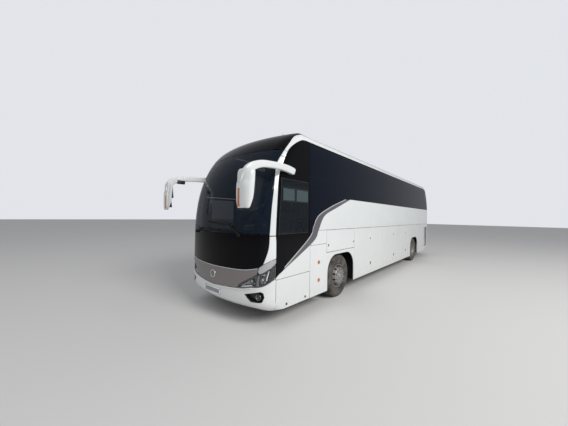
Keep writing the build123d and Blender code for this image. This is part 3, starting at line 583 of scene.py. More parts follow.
white = paint("body_white", (0.80, 0.82, 0.81), rough=0.18, dust=0.30, coat=0.6)
seam_black = paint("open_seam", (0.010, 0.010, 0.010), rough=0.8)
cheek = np.concatenate((
    on_end(span(black_edge, 1.138, PILLAR_SPLIT, axis=1)),
    on_side(dense([(-2.474, PILLAR_SPLIT), (-2.345, PILLAR_SPLIT)])),
    on_side(dense([(-2.333, 1.52), (NOSE_SEAM, 1.300), (NOSE_SEAM, 1.240)])),
    on_end(dense(SILVER_TOP[::-1]))))
pillar = np.concatenate((
    on_side(span(pillar_line, low=PILLAR_SPLIT, axis=1)),
    on_side(dense([(CAP_REAR, CAP_SIDE_Z), (CAP_REAR, GLASS_TOP)])),
    on_side(span(curve(PILLAR_REAR), low=PILLAR_SPLIT, axis=1)[::-1])))
mask_parts = [skin_mesh(nose_sheet, loop, thick=0.03) for loop in (cheek, pillar)]
for (y0, z0), (y1, z1) in PILLAR_SEAMS:
    seam = on_side(closed([(y0, z0), (y1, z1), (y1 - SEAM_REAR_SHIFT, z1 - SEAM_WIDTH),
                           (y0 - SEAM_REAR_SHIFT, z0 - SEAM_WIDTH)]))
    mask_parts.append(skin_mesh(nose_sheet, seam, thick=0.004, gap=0.0003, edge=0.0005, sunk=-0.0008,
                                finish=1))
mask = make_piece("front_cheeks", both_sides(mask_parts), [white, seam_black])
stand_for(mask, "white_paint", "front_mask")

# Silver band
# A painted silver-grey moulding across the nose, rising at its ends between cheek and headlamp, with
# a bright strip along its top and a plain round boss in its middle.
LAMP_TOP = ((0.640, 0.686), (0.838, 0.818), (1.026, 0.921), (1.092, 0.966), (1.150, 0.978), (1.187, 1.000),
            (1.227, 1.042), (1.253, 1.070), (1.2735, 1.140))
BAND_END, BAND_NOTCH = (1.124, 1.094), (1.100, 1.010)
BUMPER_TOP = ((0, 0.640), (0.640, 0.676), (0.819, 0.694), (0.965, 0.727), (1.129, 0.748), (1.208, 0.782),
              (1.238, 0.812), (1.262, 0.846), (1.2735, 0.874))
BRIGHT_STRIP, BOSS_Z = 0.014, 0.839
# Painted shade: the band's silvery grey is darker than its paint, standing in for the shade over the nose.
# The lamp fins and the CAD parts of this slot take it too.
silver_painted_shade = paint("silver_band_painted_shade", (0.25, 0.232, 0.226), rough=0.32, metal=0.55, dust=0.1)
# Painted highlight: the trim at the band's upturned ends is the band's own paint, made lighter where light
# falls on it.
silver_painted_highlight = paint("silver_trim_painted_highlight", (0.50, 0.50, 0.505), rough=0.3, metal=0.5)
lamp_top, bumper_top = curve(LAMP_TOP), curve(BUMPER_TOP)
band_loop = symmetric(
    on_end(span(bumper_top, high=0.63)),
    on_end(span(lamp_top, high=1.095)),
    on_end(dense([BAND_NOTCH, BAND_END])),
    on_end(span(black_edge, high=1.11)[::-1]))
trim_loop = np.concatenate((
    on_end(span(lamp_top, low=1.092)),
    on_side([(NOSE_SEAM, 1.150), (NOSE_SEAM, 1.185), (NOSE_SEAM, 1.220)]),
    on_end(dense(SILVER_TOP[::-1])),
    on_end(dense([(1.151, 1.117), BAND_END, BAND_NOTCH]))))


def facing_out(points, faces):
    """A closed part's faces, turned outwards."""
    origin = points.mean(0)
    volume = 0
    for face in faces:
        a = points[face[0]] - origin
        for b, c in zip(face[1:-1], face[2:]):
            volume += np.dot(a, np.cross(points[b] - origin, points[c] - origin))
    return faces if volume > 0 else [face[::-1] for face in faces]


def lathe(profile, centre, axis, count=32, ring=False, finish=0):
    """A turned part: (radius, along) points spun about a line through a centre."""
    axis = np.array(axis, float) / np.linalg.norm(axis)
    side = np.cross(axis, (0.31, 0.17, 0.93) if abs(axis[2]) < 0.9 else (1.0, 0, 0))
    side /= np.linalg.norm(side)
    across = np.cross(axis, side)
    angles = np.arange(count) * 2 * pi / count
    points, rings, faces = [], [], []
    for radius, along in profile:
        at = np.array(centre) + axis * along
        if radius < 1e-6:
            rings.append([len(points)])
            points.append(at)
        else:
            rings.append(list(range(len(points), len(points) + count)))
            points += [at + (side * cos(a) + across * sin(a)) * radius for a in angles]
    pairs = list(zip(rings[:-1], rings[1:])) + ([(rings[-1], rings[0])] if ring else [])
    for a, b in pairs:
        for k in range(count):
            n = (k + 1) % count
            face = [a[k % len(a)], a[n % len(a)], b[n % len(b)], b[k % len(b)]]
            faces.append(tuple(dict.fromkeys(face)))
    faces = [f for f in faces if len(f) > 2]
    points = np.array(points)
    return points, facing_out(points, faces), np.zeros_like(points), finish


def on_nose(x, z, deep=0.0):
    """A place on the nose, and the way it faces."""
    place = on_end([(x, z)])
    way = skin_normals(place)[0]
    return place[0] - way * deep, way


chrome = paint("chrome", (0.72, 0.73, 0.75), rough=0.09, metal=1.0)
bright_loop = symmetric(
    on_end(span(black_edge, high=1.12)),
    on_end(span(black_edge, high=1.12, rise=-BRIGHT_STRIP)[::-1]))
boss_place, boss_way = on_nose(0, BOSS_Z)
trim_part = skin_mesh(nose_sheet, trim_loop, thick=0.02, finish=2)
band = make_piece("silver_band", [
    skin_mesh(nose_sheet, band_loop, thick=0.02), trim_part, flipped(trim_part),
    skin_mesh(nose_sheet, bright_loop, thick=0.008, gap=0.0005, edge=0.001, sunk=-0.003, finish=1),
    lathe([(0.000, 0.010), (0.058, 0.010), (0.062, 0.006), (0.062, -0.01), (0, -0.01)],
          boss_place, boss_way, 40),
    lathe([(0.062, 0.004), (0.066, 0.013), (0.074, 0.013), (0.080, 0.004), (0.080, -0.01), (0.062, -0.01)],
          boss_place, boss_way, 40, ring=True, finish=1)], [silver_painted_shade, chrome, silver_painted_highlight])
stand_for(band, "silver_paint", "front_silver_band")

# Headlamps
# Clear swept lenses over chromed bowls: a main projector and indicator in the outer bowl, a low
# reflector with a light strip in the long inner one, and a black outer third round the corner.
def loft(rings, ring=False, finish=0):
    """A closed skin over rows of points: capped at both ends, or joined end to end."""
    count = len(rings[0])
    points = [np.concatenate(rings)]
    rows = list(range(len(rings)))
    faces = []
    for a, b in zip(rows, rows[1:] + (rows[:1] if ring else [])):
        faces += [(a * count + k, a * count + (k + 1) % count, b * count + (k + 1) % count, b * count + k)
                  for k in range(count)]
    if not ring:
        total = count * len(rings)
        points.append(np.array([rings[0].mean(0), rings[-1].mean(0)]))
        last = count * (len(rings) - 1)
        faces += [(total, (k + 1) % count, k) for k in range(count)]
        faces += [(total + 1, last + k, last + (k + 1) % count) for k in range(count)]
    points = np.concatenate(points)
    return points, facing_out(points, faces), np.zeros_like(points), finish


def well(sheet, loop, start, depth, thick=0.004, finish=0):
    """The side wall of a recess in the skin."""
    flat = tidy_loop(sheet.flat(loop))
    outer, inner = sheet.wrap(flat), sheet.wrap(shrink(flat, thick))
    way = skin_normals(outer)
    return loft([outer - way * start, inner - way * start, inner - way * depth, outer - way * depth],
                ring=True, finish=finish)


def lamp_at(x, z, deep, radius, bowl=0):
    """A round lamp facing ahead: a bright bowl with a glass eye in it."""
    place, way = on_nose(x, z, deep)
    way = way * 0.45 + np.array((0, -1, 0)) * 0.55
    shade = [(radius, 0.0), (radius * 1.12, -0.004), (radius * 1.12, -0.03), (radius * 0.55, -0.034),
             (radius * 0.6, -0.026), (radius * 0.88, -0.012)]
    bulb = [(0, -0.004), (radius * 0.3, -0.006), (radius * 0.52, -0.013), (radius * 0.62, -0.026),
            (0, -0.028)]
    return [lathe(shade, place, way, 32, ring=True, finish=bowl), lathe(bulb, place, way, 28, finish=2)]


def fixed(piece, body="body"):
    """The piece takes no CAD node's place and moves with a body."""
    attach(piece, body)


lens_clear = glass("headlamp_lens", (0.30, 0.33, 0.35), 0.06, rough=0.02, shine=0.35)
lamp_chrome = paint("lamp_chrome", (0.30, 0.30, 0.31), rough=0.16, metal=1.0)
lamp_eye = glass("lamp_eye", (0.80, 0.86, 0.90), 0.75, rough=0.03)
lamp_black = paint("lamp_black", (0.010, 0.010, 0.011), rough=0.25)
lamp_bright = paint("lamp_bright", (0.85, 0.86, 0.87), rough=0.25)
lamp_loop = np.concatenate((
    on_end(lamp_top),
    on_side([(NOSE_SEAM, 1.130), (NOSE_SEAM, 1.0), (NOSE_SEAM, 0.885)]),
    on_end(span(bumper_top, low=0.66)[::-1])))
THIRD_EDGE = ((1.225, 0.800), (1.231, 0.862), (1.238, 0.909), (1.244, 0.962), (1.250, 1.014), (1.2535, 1.062))
corner_loop = np.concatenate((
    on_end(dense(THIRD_EDGE)),
    on_end(span(lamp_top, low=1.255, rise=-0.006)),
    on_side([(NOSE_SEAM, 1.120), (NOSE_SEAM, 1.0), (NOSE_SEAM, 0.892)]),
    on_end(span(bumper_top, low=1.232, rise=0.006)[::-1])))
SILVER_FIN = ((1.104, 0.968), (1.136, 0.974), (1.118, 0.835), (1.122, 0.760), (1.078, 0.752), (1.082, 0.835))
BLACK_FIN = ((1.080, 0.955), (1.152, 0.972), (1.136, 0.835), (1.142, 0.762), (1.054, 0.748), (1.058, 0.835))
PALE_FIN = ((1.2385, 1.030), (1.2435, 1.020), (1.232, 0.930), (1.222, 0.850), (1.211, 0.850), (1.221, 0.930))
silver_fin, black_fin, pale_fin = (on_end(closed(fin)) for fin in (SILVER_FIN, BLACK_FIN, PALE_FIN))
strip_light = on_end(span(bumper_top, 0.72, 1.0, rise=0.012) + span(bumper_top, 0.77, 1.0, rise=0.040)[::-1])
hood_loop = on_end(span(lamp_top, 0.70, 1.25, rise=-0.007) + span(lamp_top, 0.76, 1.24, rise=-0.030)[::-1])
lamp_parts = [
    skin_mesh(nose_sheet, lamp_loop, thick=0.003, gap=0.006, sunk=0.082),
    well(nose_sheet, drawn_in(nose_sheet, lamp_loop, 0.004), 0.007, 0.086),
    skin_mesh(nose_sheet, corner_loop, thick=0.004, sunk=0.009, finish=1),
    skin_mesh(nose_sheet, black_fin, thick=0.060, gap=0.001, sunk=0.020, finish=1),
    skin_mesh(nose_sheet, silver_fin, thick=0.008, gap=0.001, sunk=0.014, finish=4),
    skin_mesh(nose_sheet, pale_fin, thick=0.030, gap=0.0005, edge=0.001, sunk=0.016, finish=3),
    skin_mesh(nose_sheet, strip_light, thick=0.014, gap=0.001, sunk=0.024, finish=3),
    skin_mesh(nose_sheet, hood_loop, thick=0.050, gap=0.001, sunk=0.010, finish=1),
    *lamp_at(1.168, 0.868, 0.030, 0.044), *lamp_at(1.196, 0.955, 0.036, 0.030),
    *lamp_at(1.205, 0.822, 0.034, 0.018), *lamp_at(0.965, 0.826, 0.036, 0.040)]
# The silvery fins take the band's paint, with its painted shade.
lamp_bowls = make_piece("headlamp_bowls", both_sides(lamp_parts),
                        [lamp_chrome, lamp_black, lamp_eye, lamp_bright, silver_painted_shade])
fixed(lamp_bowls)
headlamps = make_piece("headlamp_lenses", both_sides([skin_mesh(nose_sheet, lamp_loop, thick=0.004)]),
                       [lens_clear])
stand_for(headlamps, "lamp_glass", "headlamps")

# Bumper
# One white moulding round the nose, tucked under at its foot, with a black recess for each fog lamp
# and a raised lip along its top.
BUMPER_FOOT = 0.285
FOG_RECESS = ((0.853, 0.590), (1.150, 0.664), (1.182, 0.640), (1.194, 0.570), (1.168, 0.490), (1.140, 0.476),
              (0.969, 0.476))
FOG_X, FOG_Z = 1.105, 0.563
fog_loop = on_end(closed(FOG_RECESS, 0.02))
bumper_loop = symmetric(
    on_end(dense([(0, BUMPER_FOOT), (1.2, BUMPER_FOOT)])),
    on_side([(NOSE_SEAM, BUMPER_FOOT)]),
    on_side(dense([(NOSE_SEAM, 0.3), (NOSE_SEAM, 0.865)])),
    on_end(bumper_top[::-1]))
bumper = make_piece("bumper", [
    skin_mesh(nose_sheet, bumper_loop, [fog_loop, mirror_points(fog_loop)], thick=0.03, step=0.05)], [white])
stand_for(bumper, "white_paint", "front_bumper")
lip_loop = symmetric(
    on_end(span(bumper_top, high=1.02, rise=-0.004)),
    on_end(span(bumper_top, high=1.02, rise=-0.034)[::-1]))
lip = make_piece("bumper_lip", [
    skin_mesh(nose_sheet, lip_loop, thick=0.016, gap=0.0005, edge=0.006, sunk=-0.010)], [white])
fixed(lip)
recess_black = paint("recess_black", (0.008, 0.009, 0.009), rough=0.32)
fog_eye = glass("fog_lamp_eye", (0.10, 0.12, 0.13), 0.9, rough=0.03)
ring_place, ring_way = on_nose(FOG_X, FOG_Z, 0.026)
fog_parts = [
    well(nose_sheet, drawn_in(nose_sheet, fog_loop, -0.002), 0.004, 0.075),
    skin_mesh(nose_sheet, fog_loop, thick=0.006, gap=0.0, sunk=0.066, step=0.05),
    *lamp_at(FOG_X, FOG_Z, 0.022, 0.047, bowl=1),
    lathe([(0.053, 0.0), (0.062, -0.004), (0.066, -0.05), (0.055, -0.05)], ring_place,
          ring_way * 0.45 + np.array((0, -0.55, 0)), 32, ring=True)]
fog_lamps = make_piece("fog_lamps_lit", both_sides(fog_parts), [recess_black, lamp_chrome, fog_eye])
stand_for(fog_lamps, "lamp_glass", "fog_lamps")

# Number plate
# A bare plate of pressed alloy in a white frame, held to the bumper by two screws.
PLATE_X, PLATE_Z, PLATE_Y = (-0.274, 0.256), (0.468, 0.582), NOSE_TIP + 0.004
FRAME_WIDTH, PLATE_INSET, SCREW_INSET = 0.018, 0.004, 0.06


def rounded_box(low, high, edge=0.004, rounds=2, finish=0):
    """A block with rounded edges between two corners."""
    low, high = np.minimum(low, high), np.maximum(low, high)
    bm = bmesh.new()
    bmesh.ops.create_cube(bm, size=1)
    for v in bm.verts:
        v.co = Vector(low) + Vector((c + 0.5) * d for c, d in zip(v.co, high - low))
    bmesh.ops.bevel(bm, geom=bm.edges[:], offset=edge, segments=rounds, profile=0.6, affect="EDGES")
    bmesh.ops.recalc_face_normals(bm, faces=bm.faces[:])
    bm.verts.index_update()
    points = np.array([v.co[:] for v in bm.verts])
    faces = [tuple(v.index for v in f.verts) for f in bm.faces]
    bm.free()
    return points, faces, np.zeros_like(points), finish


plate_white = paint("plate_frame_white", (0.82, 0.83, 0.84), rough=0.35)
plate_grey = paint("blank_plate", (0.30, 0.30, 0.33), rough=0.4)
plate_parts = [rounded_box((PLATE_X[0] + PLATE_INSET, PLATE_Y, PLATE_Z[0] + PLATE_INSET),
                           (PLATE_X[1] - PLATE_INSET, PLATE_Y - 0.010, PLATE_Z[1] - PLATE_INSET), 0.003,
                           finish=1)]
for x0, x1, z0, z1 in ((*PLATE_X, PLATE_Z[1] - FRAME_WIDTH, PLATE_Z[1]),
                       (*PLATE_X, PLATE_Z[0], PLATE_Z[0] + FRAME_WIDTH),
                       (PLATE_X[0], PLATE_X[0] + FRAME_WIDTH, *PLATE_Z),
                       (PLATE_X[1] - FRAME_WIDTH, PLATE_X[1], *PLATE_Z)):
    plate_parts.append(rounded_box((x0, PLATE_Y, z0), (x1, PLATE_Y - 0.016, z1), 0.003))
for x in (PLATE_X[0] + SCREW_INSET, PLATE_X[1] - SCREW_INSET):
    plate_parts.append(lathe([(0, 0.0125), (0.005, 0.012), (0.0065, 0.010), (0.0065, 0), (0, 0)],
                             (x, PLATE_Y, sum(PLATE_Z) / 2), (0, -1, 0), 12, finish=2))
front_plate = make_piece("front_plate", plate_parts, [plate_white, plate_grey, chrome])
fixed(front_plate)

# Black corner panels and driver's window
# Gloss black panels fill the nose's flanks between pillar, belt and swoosh. The driver's window is
# a pane in the left one, with two sliding lights in its upper half.
SWOOSH_OUTER = ((-2.110, 1.050), (-1.330, 1.562), (-1.186, 1.793), (-0.996, 2.024), (-0.484, 2.236),
                (0.168, 2.432), (0.250, 2.460))
SWOOSH_INNER = ((-2.330, 0.890), (-2.243, 0.944), (-2.153, 0.985), (-2.085, 1.022), (-1.178, 1.466),
                (-0.988, 1.699), (-0.747, 2.016), (-0.196, 2.221), (0.420, 2.430), (0.520, 2.460))
GLASS_POST = -1.330
WINDOW = ((-2.290, 1.655), (-1.390, 1.655), (-1.390, 2.700), (-2.215, 2.700))
WINDOW_RUBBER = 0.018
SLIDE = (2.285, 2.510)
SLIDING_LIGHTS = ((-2.170, -1.845), (-1.785, -1.400))
RUBBER_BARS = ((-2.215, -1.392, SLIDE[0] - 0.022, SLIDE[0]), (-2.205, -1.392, SLIDE[1], SLIDE[1] + 0.020),
               (-1.850, -1.812, *SLIDE), (-2.190, -2.165, *SLIDE))
swoosh_outer, swoosh_inner = curve(SWOOSH_OUTER), curve(SWOOSH_INNER)
swoosh_foot = span(swoosh_inner, high=-2.095)
rear_edge = curve(PILLAR_REAR)[::-1]


def cut(line, low, high, axis=0):
    """The part of a line between two levels, ending exactly on them."""
    found = []
    for a, b in zip(line[:-1], line[1:]):
        if low <= a[axis] <= high:
            found.append(a)
        for edge_at in (low, high):
            if (a[axis] - edge_at) * (b[axis] - edge_at) < 0:
                t = (edge_at - a[axis]) / (b[axis] - a[axis])
                found.append((a[0] + (b[0] - a[0]) * t, a[1] + (b[1] - a[1]) * t))
    if low <= line[-1][axis] <= high:
        found.append(line[-1])
    return found


def box_line(start, stop, low, high, step=0.04):
    """A closed rectangle between two places and two heights."""
    return closed([(start, low), (stop, low), (stop, high), (start, high)], step)


def side_panel(loop, holes=(), **how):
    """A panel of the left side, from lines of (behind the front axle, height)."""
    return skin_mesh(left_sheet, on_side(loop), [on_side(hole) for hole in holes], **how)


driver_glass = glass("driver_window_glass", (0.012, 0.018, 0.024), 0.40, shine=0.3)
window_frame = paint("window_rubber", (0.012, 0.012, 0.013), rough=0.45)
light_pale = glass("sliding_light_glass", (0.075, 0.110, 0.120), 0.70, shine=0.3)
nose_edge = dense([(NOSE_SEAM, 1.46), (NOSE_SEAM, 0.92)])
window_line = closed(WINDOW)
side_black = [*swoosh_foot, *cut(swoosh_outer, NOSE_SEAM, GLASS_POST),
              *dense([(GLASS_POST, 1.60), (GLASS_POST, GLASS_TOP)]), *rear_edge, *nose_edge]
corner_left = make_piece("corner_panel_left", [side_panel(side_black, [window_line], thick=0.03)],
                         [black_gloss])
stand_for(corner_left, "black_gloss", "front_side_left")
window_hole = on_side(window_line)
window_parts = [
    skin_mesh(left_sheet, window_hole, thick=0.006, sunk=0.004),
    skin_mesh(left_sheet, window_hole, [drawn_in(left_sheet, window_hole, WINDOW_RUBBER)], gap=0.001,
              finish=1)]
window_parts += [side_panel(box_line(y0, y1, *SLIDE), thick=0.003, gap=0.002, finish=2)
                 for y0, y1 in SLIDING_LIGHTS]
window_parts += [side_panel(box_line(*bar), thick=0.014, gap=0.0005, edge=0.002, sunk=-0.001, finish=1)
                 for bar in RUBBER_BARS]
driver_window = make_piece("driver_window", window_parts, [driver_glass, window_frame, light_pale])
stand_for(driver_window, "dark_glass", "driver_window")

# Side glazing
# Flush panes of dark tinted glass, bonded edge to edge from the driver's window to the tail.
TAIL_SEAM, GLASS_END = 9.872, 9.140
GLASS_TAIL = ((TAIL_SEAM, BELT), (9.862, 2.700), (9.812, 3.000), (9.690, 3.290), (9.480, 3.480),
              (GLASS_END, GLASS_TOP))
PANE_JOINTS = (GLASS_POST, 0.75, 2.95, 5.00, 7.05)
FIRST_JOINT, LAST_JOINT = PANE_JOINTS[1], PANE_JOINTS[-1]
side_glass = glass("side_glass", (0.003, 0.006, 0.014), 0.88, shine=0.11)
glass_tail = curve(GLASS_TAIL)
first_pane = [*cut(swoosh_outer, GLASS_POST, 0.25), *dense([(0.25, BELT), (FIRST_JOINT, BELT)], 0.2),
              *dense([(FIRST_JOINT, BELT + 0.02), (FIRST_JOINT, GLASS_TOP)], 0.15),
              *dense([(FIRST_JOINT - 0.02, GLASS_TOP), (GLASS_POST, GLASS_TOP)], 0.2),
              *dense([(GLASS_POST, GLASS_TOP - 0.02), (GLASS_POST, 1.60)], 0.15)]
last_pane = [*dense([(LAST_JOINT, GLASS_TOP), (LAST_JOINT, BELT), (TAIL_SEAM, BELT)], 0.2),
             *span(glass_tail, high=3.555, axis=1)[1:],
             *dense([(GLASS_END, GLASS_TOP), (LAST_JOINT + 0.02, GLASS_TOP)], 0.2)]
panes = [first_pane, *[box_line(start, stop, BELT, GLASS_TOP, 0.2)
                       for start, stop in zip(PANE_JOINTS[1:-1], PANE_JOINTS[2:])], last_pane]
pane_parts = [side_panel(pane, thick=0.01, gap=0.0015, step=0.3, edge=0.0015) for pane in panes]
glazing_left = make_piece("side_panes_left", pane_parts, [side_glass])
stand_for(glazing_left, "dark_glass", "glazing_left")

# Swooshes
# A dark grey painted band on each side, edged with a bright line, from headlamp to belt. On the right
# it stops at the front door, whose leaf carries the rest.
EDGE_WIDTH, EDGE_SHIFT = 0.022, 0.55
INNER_START, SWOOSH_END = -2.085, 0.5
FRONT_DOOR = (-2.240, -1.330)
swoosh_grey = paint("swoosh_grey", (0.145, 0.145, 0.155), rough=0.3, metal=0.35)
swoosh_light = paint("swoosh_edge", (0.62, 0.62, 0.62), rough=0.25, metal=0.4)
edge_line = [(y + EDGE_WIDTH * EDGE_SHIFT, z - EDGE_WIDTH) for y, z in swoosh_outer]


def swoosh_parts(band, line, thick=0.02):
    """The grey band and its bright edge."""
    return [side_panel(loop, thick=thick, gap=0.0005, edge=0.001, finish=k)
            for k, loop in enumerate((band, line))]


def swoosh_between(low, high, **how):
    """The swoosh between two distances behind the front axle."""
    below = cut(edge_line, low, high)
    return swoosh_parts([*below, *cut(swoosh_inner, max(low, INNER_START), high)[::-1]],
                        [*cut(swoosh_outer, low, high), *below[::-1]], **how)


left_swoosh = swoosh_parts([*edge_line[1:], *span(swoosh_inner, low=INNER_START)[::-1]],
                           [*swoosh_outer, *edge_line[::-1]])
right_swoosh = [flipped(part) for part in swoosh_between(FRONT_DOOR[1], SWOOSH_END)]
swooshes = make_piece("swooshes", left_swoosh + right_swoosh, [swoosh_grey, swoosh_light])
stand_for(swooshes, "silver_paint", "side_swooshes")

# Flank panels
# Bonded white sheet panels under the glass: a belt panel, the wing round the front wheel, and the
# rear quarter with its grille. Flaps fill the rest.
WHEELBASE = 7.08
# Arches: centre, reach ahead and behind, top
ARCHES = {"front": (0, 0.600, 0.735, 1.085), "rear": (WHEELBASE, 0.620, 0.660, 1.100)}
ARCH_ROUND = 0.40
SEAM_Z, SKIRT = 1.690, 0.282
SEAM_A, SEAM_B, SEAM_C, SEAM_D, SEAM_E, SEAM_F, SEAM_G = NOSE_SEAM, -1.300, -0.648, 0.780, 2.945, 5.270, 6.105
CORNER_TOP, ARCH_FLAP_FOOT, GUSSET_FOOT = 0.850, 1.165, 1.38
GRILLE = (9.180, 9.780, 0.520, 1.510)


def arch_line(name):
    """The wheel arch's edge from its front foot over to its rear foot."""
    centre, before, behind, top = ARCHES[name]
    start, stop, bend = centre - before, centre + behind, ARCH_ROUND
    turns = [radians(7.5 * k) for k in range(13)]
    shoulder = [(bend * (1 - cos(a)), bend * (1 - sin(a))) for a in turns]
    half_up = (SKIRT + top - bend) / 2
    return [(start, SKIRT), (start, half_up), *[(start + y, top - z) for y, z in shoulder],
            *[(stop - y, top - z) for y, z in shoulder[::-1]], (stop, half_up), (stop, SKIRT)]


def flank_panels(*loops):
    """Bonded sheets of the left flank, the quarter with a hole for its grille."""
    return [side_panel(loop, [grille_hole] if loop is quarter else (), thick=0.03, step=0.25)
            for loop in loops]


corner_fill = [*cut(swoosh_inner, SEAM_A, SEAM_B),
               *dense([(SEAM_B, 1.36), (SEAM_B, CORNER_TOP), (SEAM_A, CORNER_TOP)], 0.2)]
over_arch = [*arch_line("front"), *dense([(SEAM_D, SKIRT), (SEAM_D, ARCH_FLAP_FOOT), (SEAM_C, ARCH_FLAP_FOOT),
                                          (SEAM_C, GUSSET_FOOT), (SEAM_B, GUSSET_FOOT)], 0.2)]
wing = [*dense([(SEAM_B, SKIRT), (SEAM_C, SKIRT)], 0.2), *over_arch, (SEAM_B, 0.8)]
gusset = [*cut(span(swoosh_inner, low=-1.32), 1.40, SEAM_Z, 1),
          *dense([(SEAM_C, SEAM_Z), (SEAM_C, GUSSET_FOOT), (-1.28, GUSSET_FOOT)], 0.2)]
belt_line = cut(swoosh_inner, SEAM_Z, 3.0, 1)
belt_panel = [*belt_line, *dense([(1.0, BELT), (TAIL_SEAM, BELT), (TAIL_SEAM, SEAM_Z), (-0.90, SEAM_Z)], 0.3)]
quarter = [*dense([(SEAM_G, SEAM_Z), (SEAM_G, SKIRT), (6.40, SKIRT)], 0.2), *arch_line("rear"),
           *dense([(8.96, SKIRT + 0.012), (TAIL_SEAM, 0.443), (TAIL_SEAM, SEAM_Z), (6.2, SEAM_Z)], 0.2)]
grille_hole = box_line(*GRILLE, 0.2)
flank_left = make_piece("flank_left", flank_panels(corner_fill, wing, gusset, belt_panel, quarter), [white])
stand_for(flank_left, "white_paint", "side_wall_left")

# Right flank
# The door side: the same sheet panels cut round two doorways, with the front arch panel and the
# post behind the middle door bonded in place of flaps.
MID_DOOR = (4.985, 5.815)
DOOR_SILL, DOOR_TOP = 0.330, 2.440
wing_right = [*dense([(SEAM_A, SKIRT), (SEAM_C, SKIRT)], 0.2), *arch_line("front"),
              *dense([(SEAM_D, SKIRT), (SEAM_D, ARCH_FLAP_FOOT), (SEAM_C, ARCH_FLAP_FOOT),
                      (SEAM_C, GUSSET_FOOT),
                      (FRONT_DOOR[1], GUSSET_FOOT), (FRONT_DOOR[1], DOOR_SILL), (FRONT_DOOR[0], DOOR_SILL),
                      (FRONT_DOOR[0], 0.905)], 0.2), (SEAM_A, 0.858), (SEAM_A, 0.6)]
gusset_right = [*span(cut(swoosh_inner, FRONT_DOOR[1], 0.0), high=SEAM_Z, axis=1),
                *dense([(-0.96, SEAM_Z), (SEAM_C, SEAM_Z), (SEAM_C, GUSSET_FOOT),
                        (FRONT_DOOR[1] + 0.02, GUSSET_FOOT)], 0.2)]
arch_panel = box_line(SEAM_C, SEAM_D, ARCH_FLAP_FOOT, SEAM_Z, 0.2)
belt_right = [*belt_line, *dense([(1.0, BELT), (TAIL_SEAM, BELT), (TAIL_SEAM, SEAM_Z), (MID_DOOR[1], SEAM_Z),
                                  (MID_DOOR[1], DOOR_TOP), (MID_DOOR[0], DOOR_TOP), (MID_DOOR[0], SEAM_Z),
                                  (-0.90, SEAM_Z)], 0.3)]
door_post = closed([(MID_DOOR[0], SKIRT), (SEAM_G, SKIRT), (SEAM_G, SEAM_Z), (MID_DOOR[1], SEAM_Z),
                    (MID_DOOR[1], DOOR_SILL), (MID_DOOR[0], DOOR_SILL)], 0.2)
right_parts = flank_panels(wing_right, gusset_right, arch_panel, belt_right, door_post, quarter)
flank_right = make_piece("flank_right", [flipped(part) for part in right_parts], [white])
stand_for(flank_right, "white_paint", "side_wall_right")
side_black_right = [*cut(swoosh_inner, NOSE_SEAM, FRONT_DOOR[0]),
                    *dense([(FRONT_DOOR[0], 1.1), (FRONT_DOOR[0], DOOR_TOP), (FRONT_DOOR[1], DOOR_TOP),
                            (FRONT_DOOR[1], GLASS_TOP)]), *rear_edge, *nose_edge]
corner_right = make_piece("corner_panel_right", [flipped(side_panel(side_black_right, thick=0.03))],
                          [black_gloss])
stand_for(corner_right, "black_gloss", "front_side_right")
glazing_right = make_piece("side_panes_right", [flipped(part) for part in pane_parts], [side_glass])
stand_for(glazing_right, "dark_glass", "glazing_right")

# Side grilles
# Radiator intake and outlet on both rear quarters: folded slats in a dark duct.
def tilted(part, middle, angle, axis="X"):
    """A part turned about a line through a point."""
    turn = np.array(Matrix.Rotation(angle, 3, axis))
    return (part[0] - middle) @ turn.T + middle, *part[1:]


def copies_tree():
    """Copies of a part in a row or a ring: each is moved by a step and turned from the one before."""
    tree = bpy.data.node_groups.new("copies", "GeometryNodeTree")
    for label, kind in (("Part", "Geometry"), ("Count", "Int"), ("Start", "Vector"), ("Step", "Vector"),
                        ("Turn", "Vector"), ("Finish", "Material")):
        tree.interface.new_socket(label, in_out="INPUT", socket_type="NodeSocket" + kind)
    tree.interface.new_socket("Copies", in_out="OUTPUT", socket_type="NodeSocketGeometry")
    given = tree.nodes.new("NodeGroupInput").outputs
    line = add(tree, "GeometryNodeMeshLine", {"Count": given["Count"], "Start Location": given["Start"],
                                              "Offset": given["Step"]})
    number = add(tree, "GeometryNodeInputIndex", {})
    turn = add(tree, "ShaderNodeVectorMath", {"Vector": given["Turn"], "Scale": number}, operation="SCALE")
    euler = add(tree, "FunctionNodeEulerToRotation", {0: turn})
    placed = add(tree, "GeometryNodeInstanceOnPoints", {"Points": line, "Instance": given["Part"],
                                                        "Rotation": euler})
    real = add(tree, "GeometryNodeRealizeInstances", {0: placed})
    coat = add(tree, "GeometryNodeSetMaterial", {"Geometry": real, "Material": given["Finish"]})
    feed(tree, tree.nodes.new("NodeGroupOutput"), {0: coat})
    return tree


copies = copies_tree()


def repeat(name, parts, count, start, step, turn, finish):
    """A plain mesh object of many copies of a few parts."""
    seed = make_piece(name + "_one", parts, [finish])
    modifier = seed.modifiers.new("copies", "NODES")
    modifier.node_group = copies
    values = {"Count": count, "Start": start, "Step": step, "Turn": turn, "Finish": finish}
    for item in copies.interface.items_tree:
        if item.in_out == "INPUT" and item.name in values:
            modifier[item.identifier] = values[item.name]
    ready = seed.evaluated_get(bpy.context.evaluated_depsgraph_get())
    mesh = bpy.data.meshes.new_from_object(ready)
    seed.modifiers.remove(modifier)
    bpy.data.objects.remove(seed)
    mesh.name = name
    piece = bpy.data.objects.new(name, mesh)
    bpy.context.collection.objects.link(piece)
    return piece


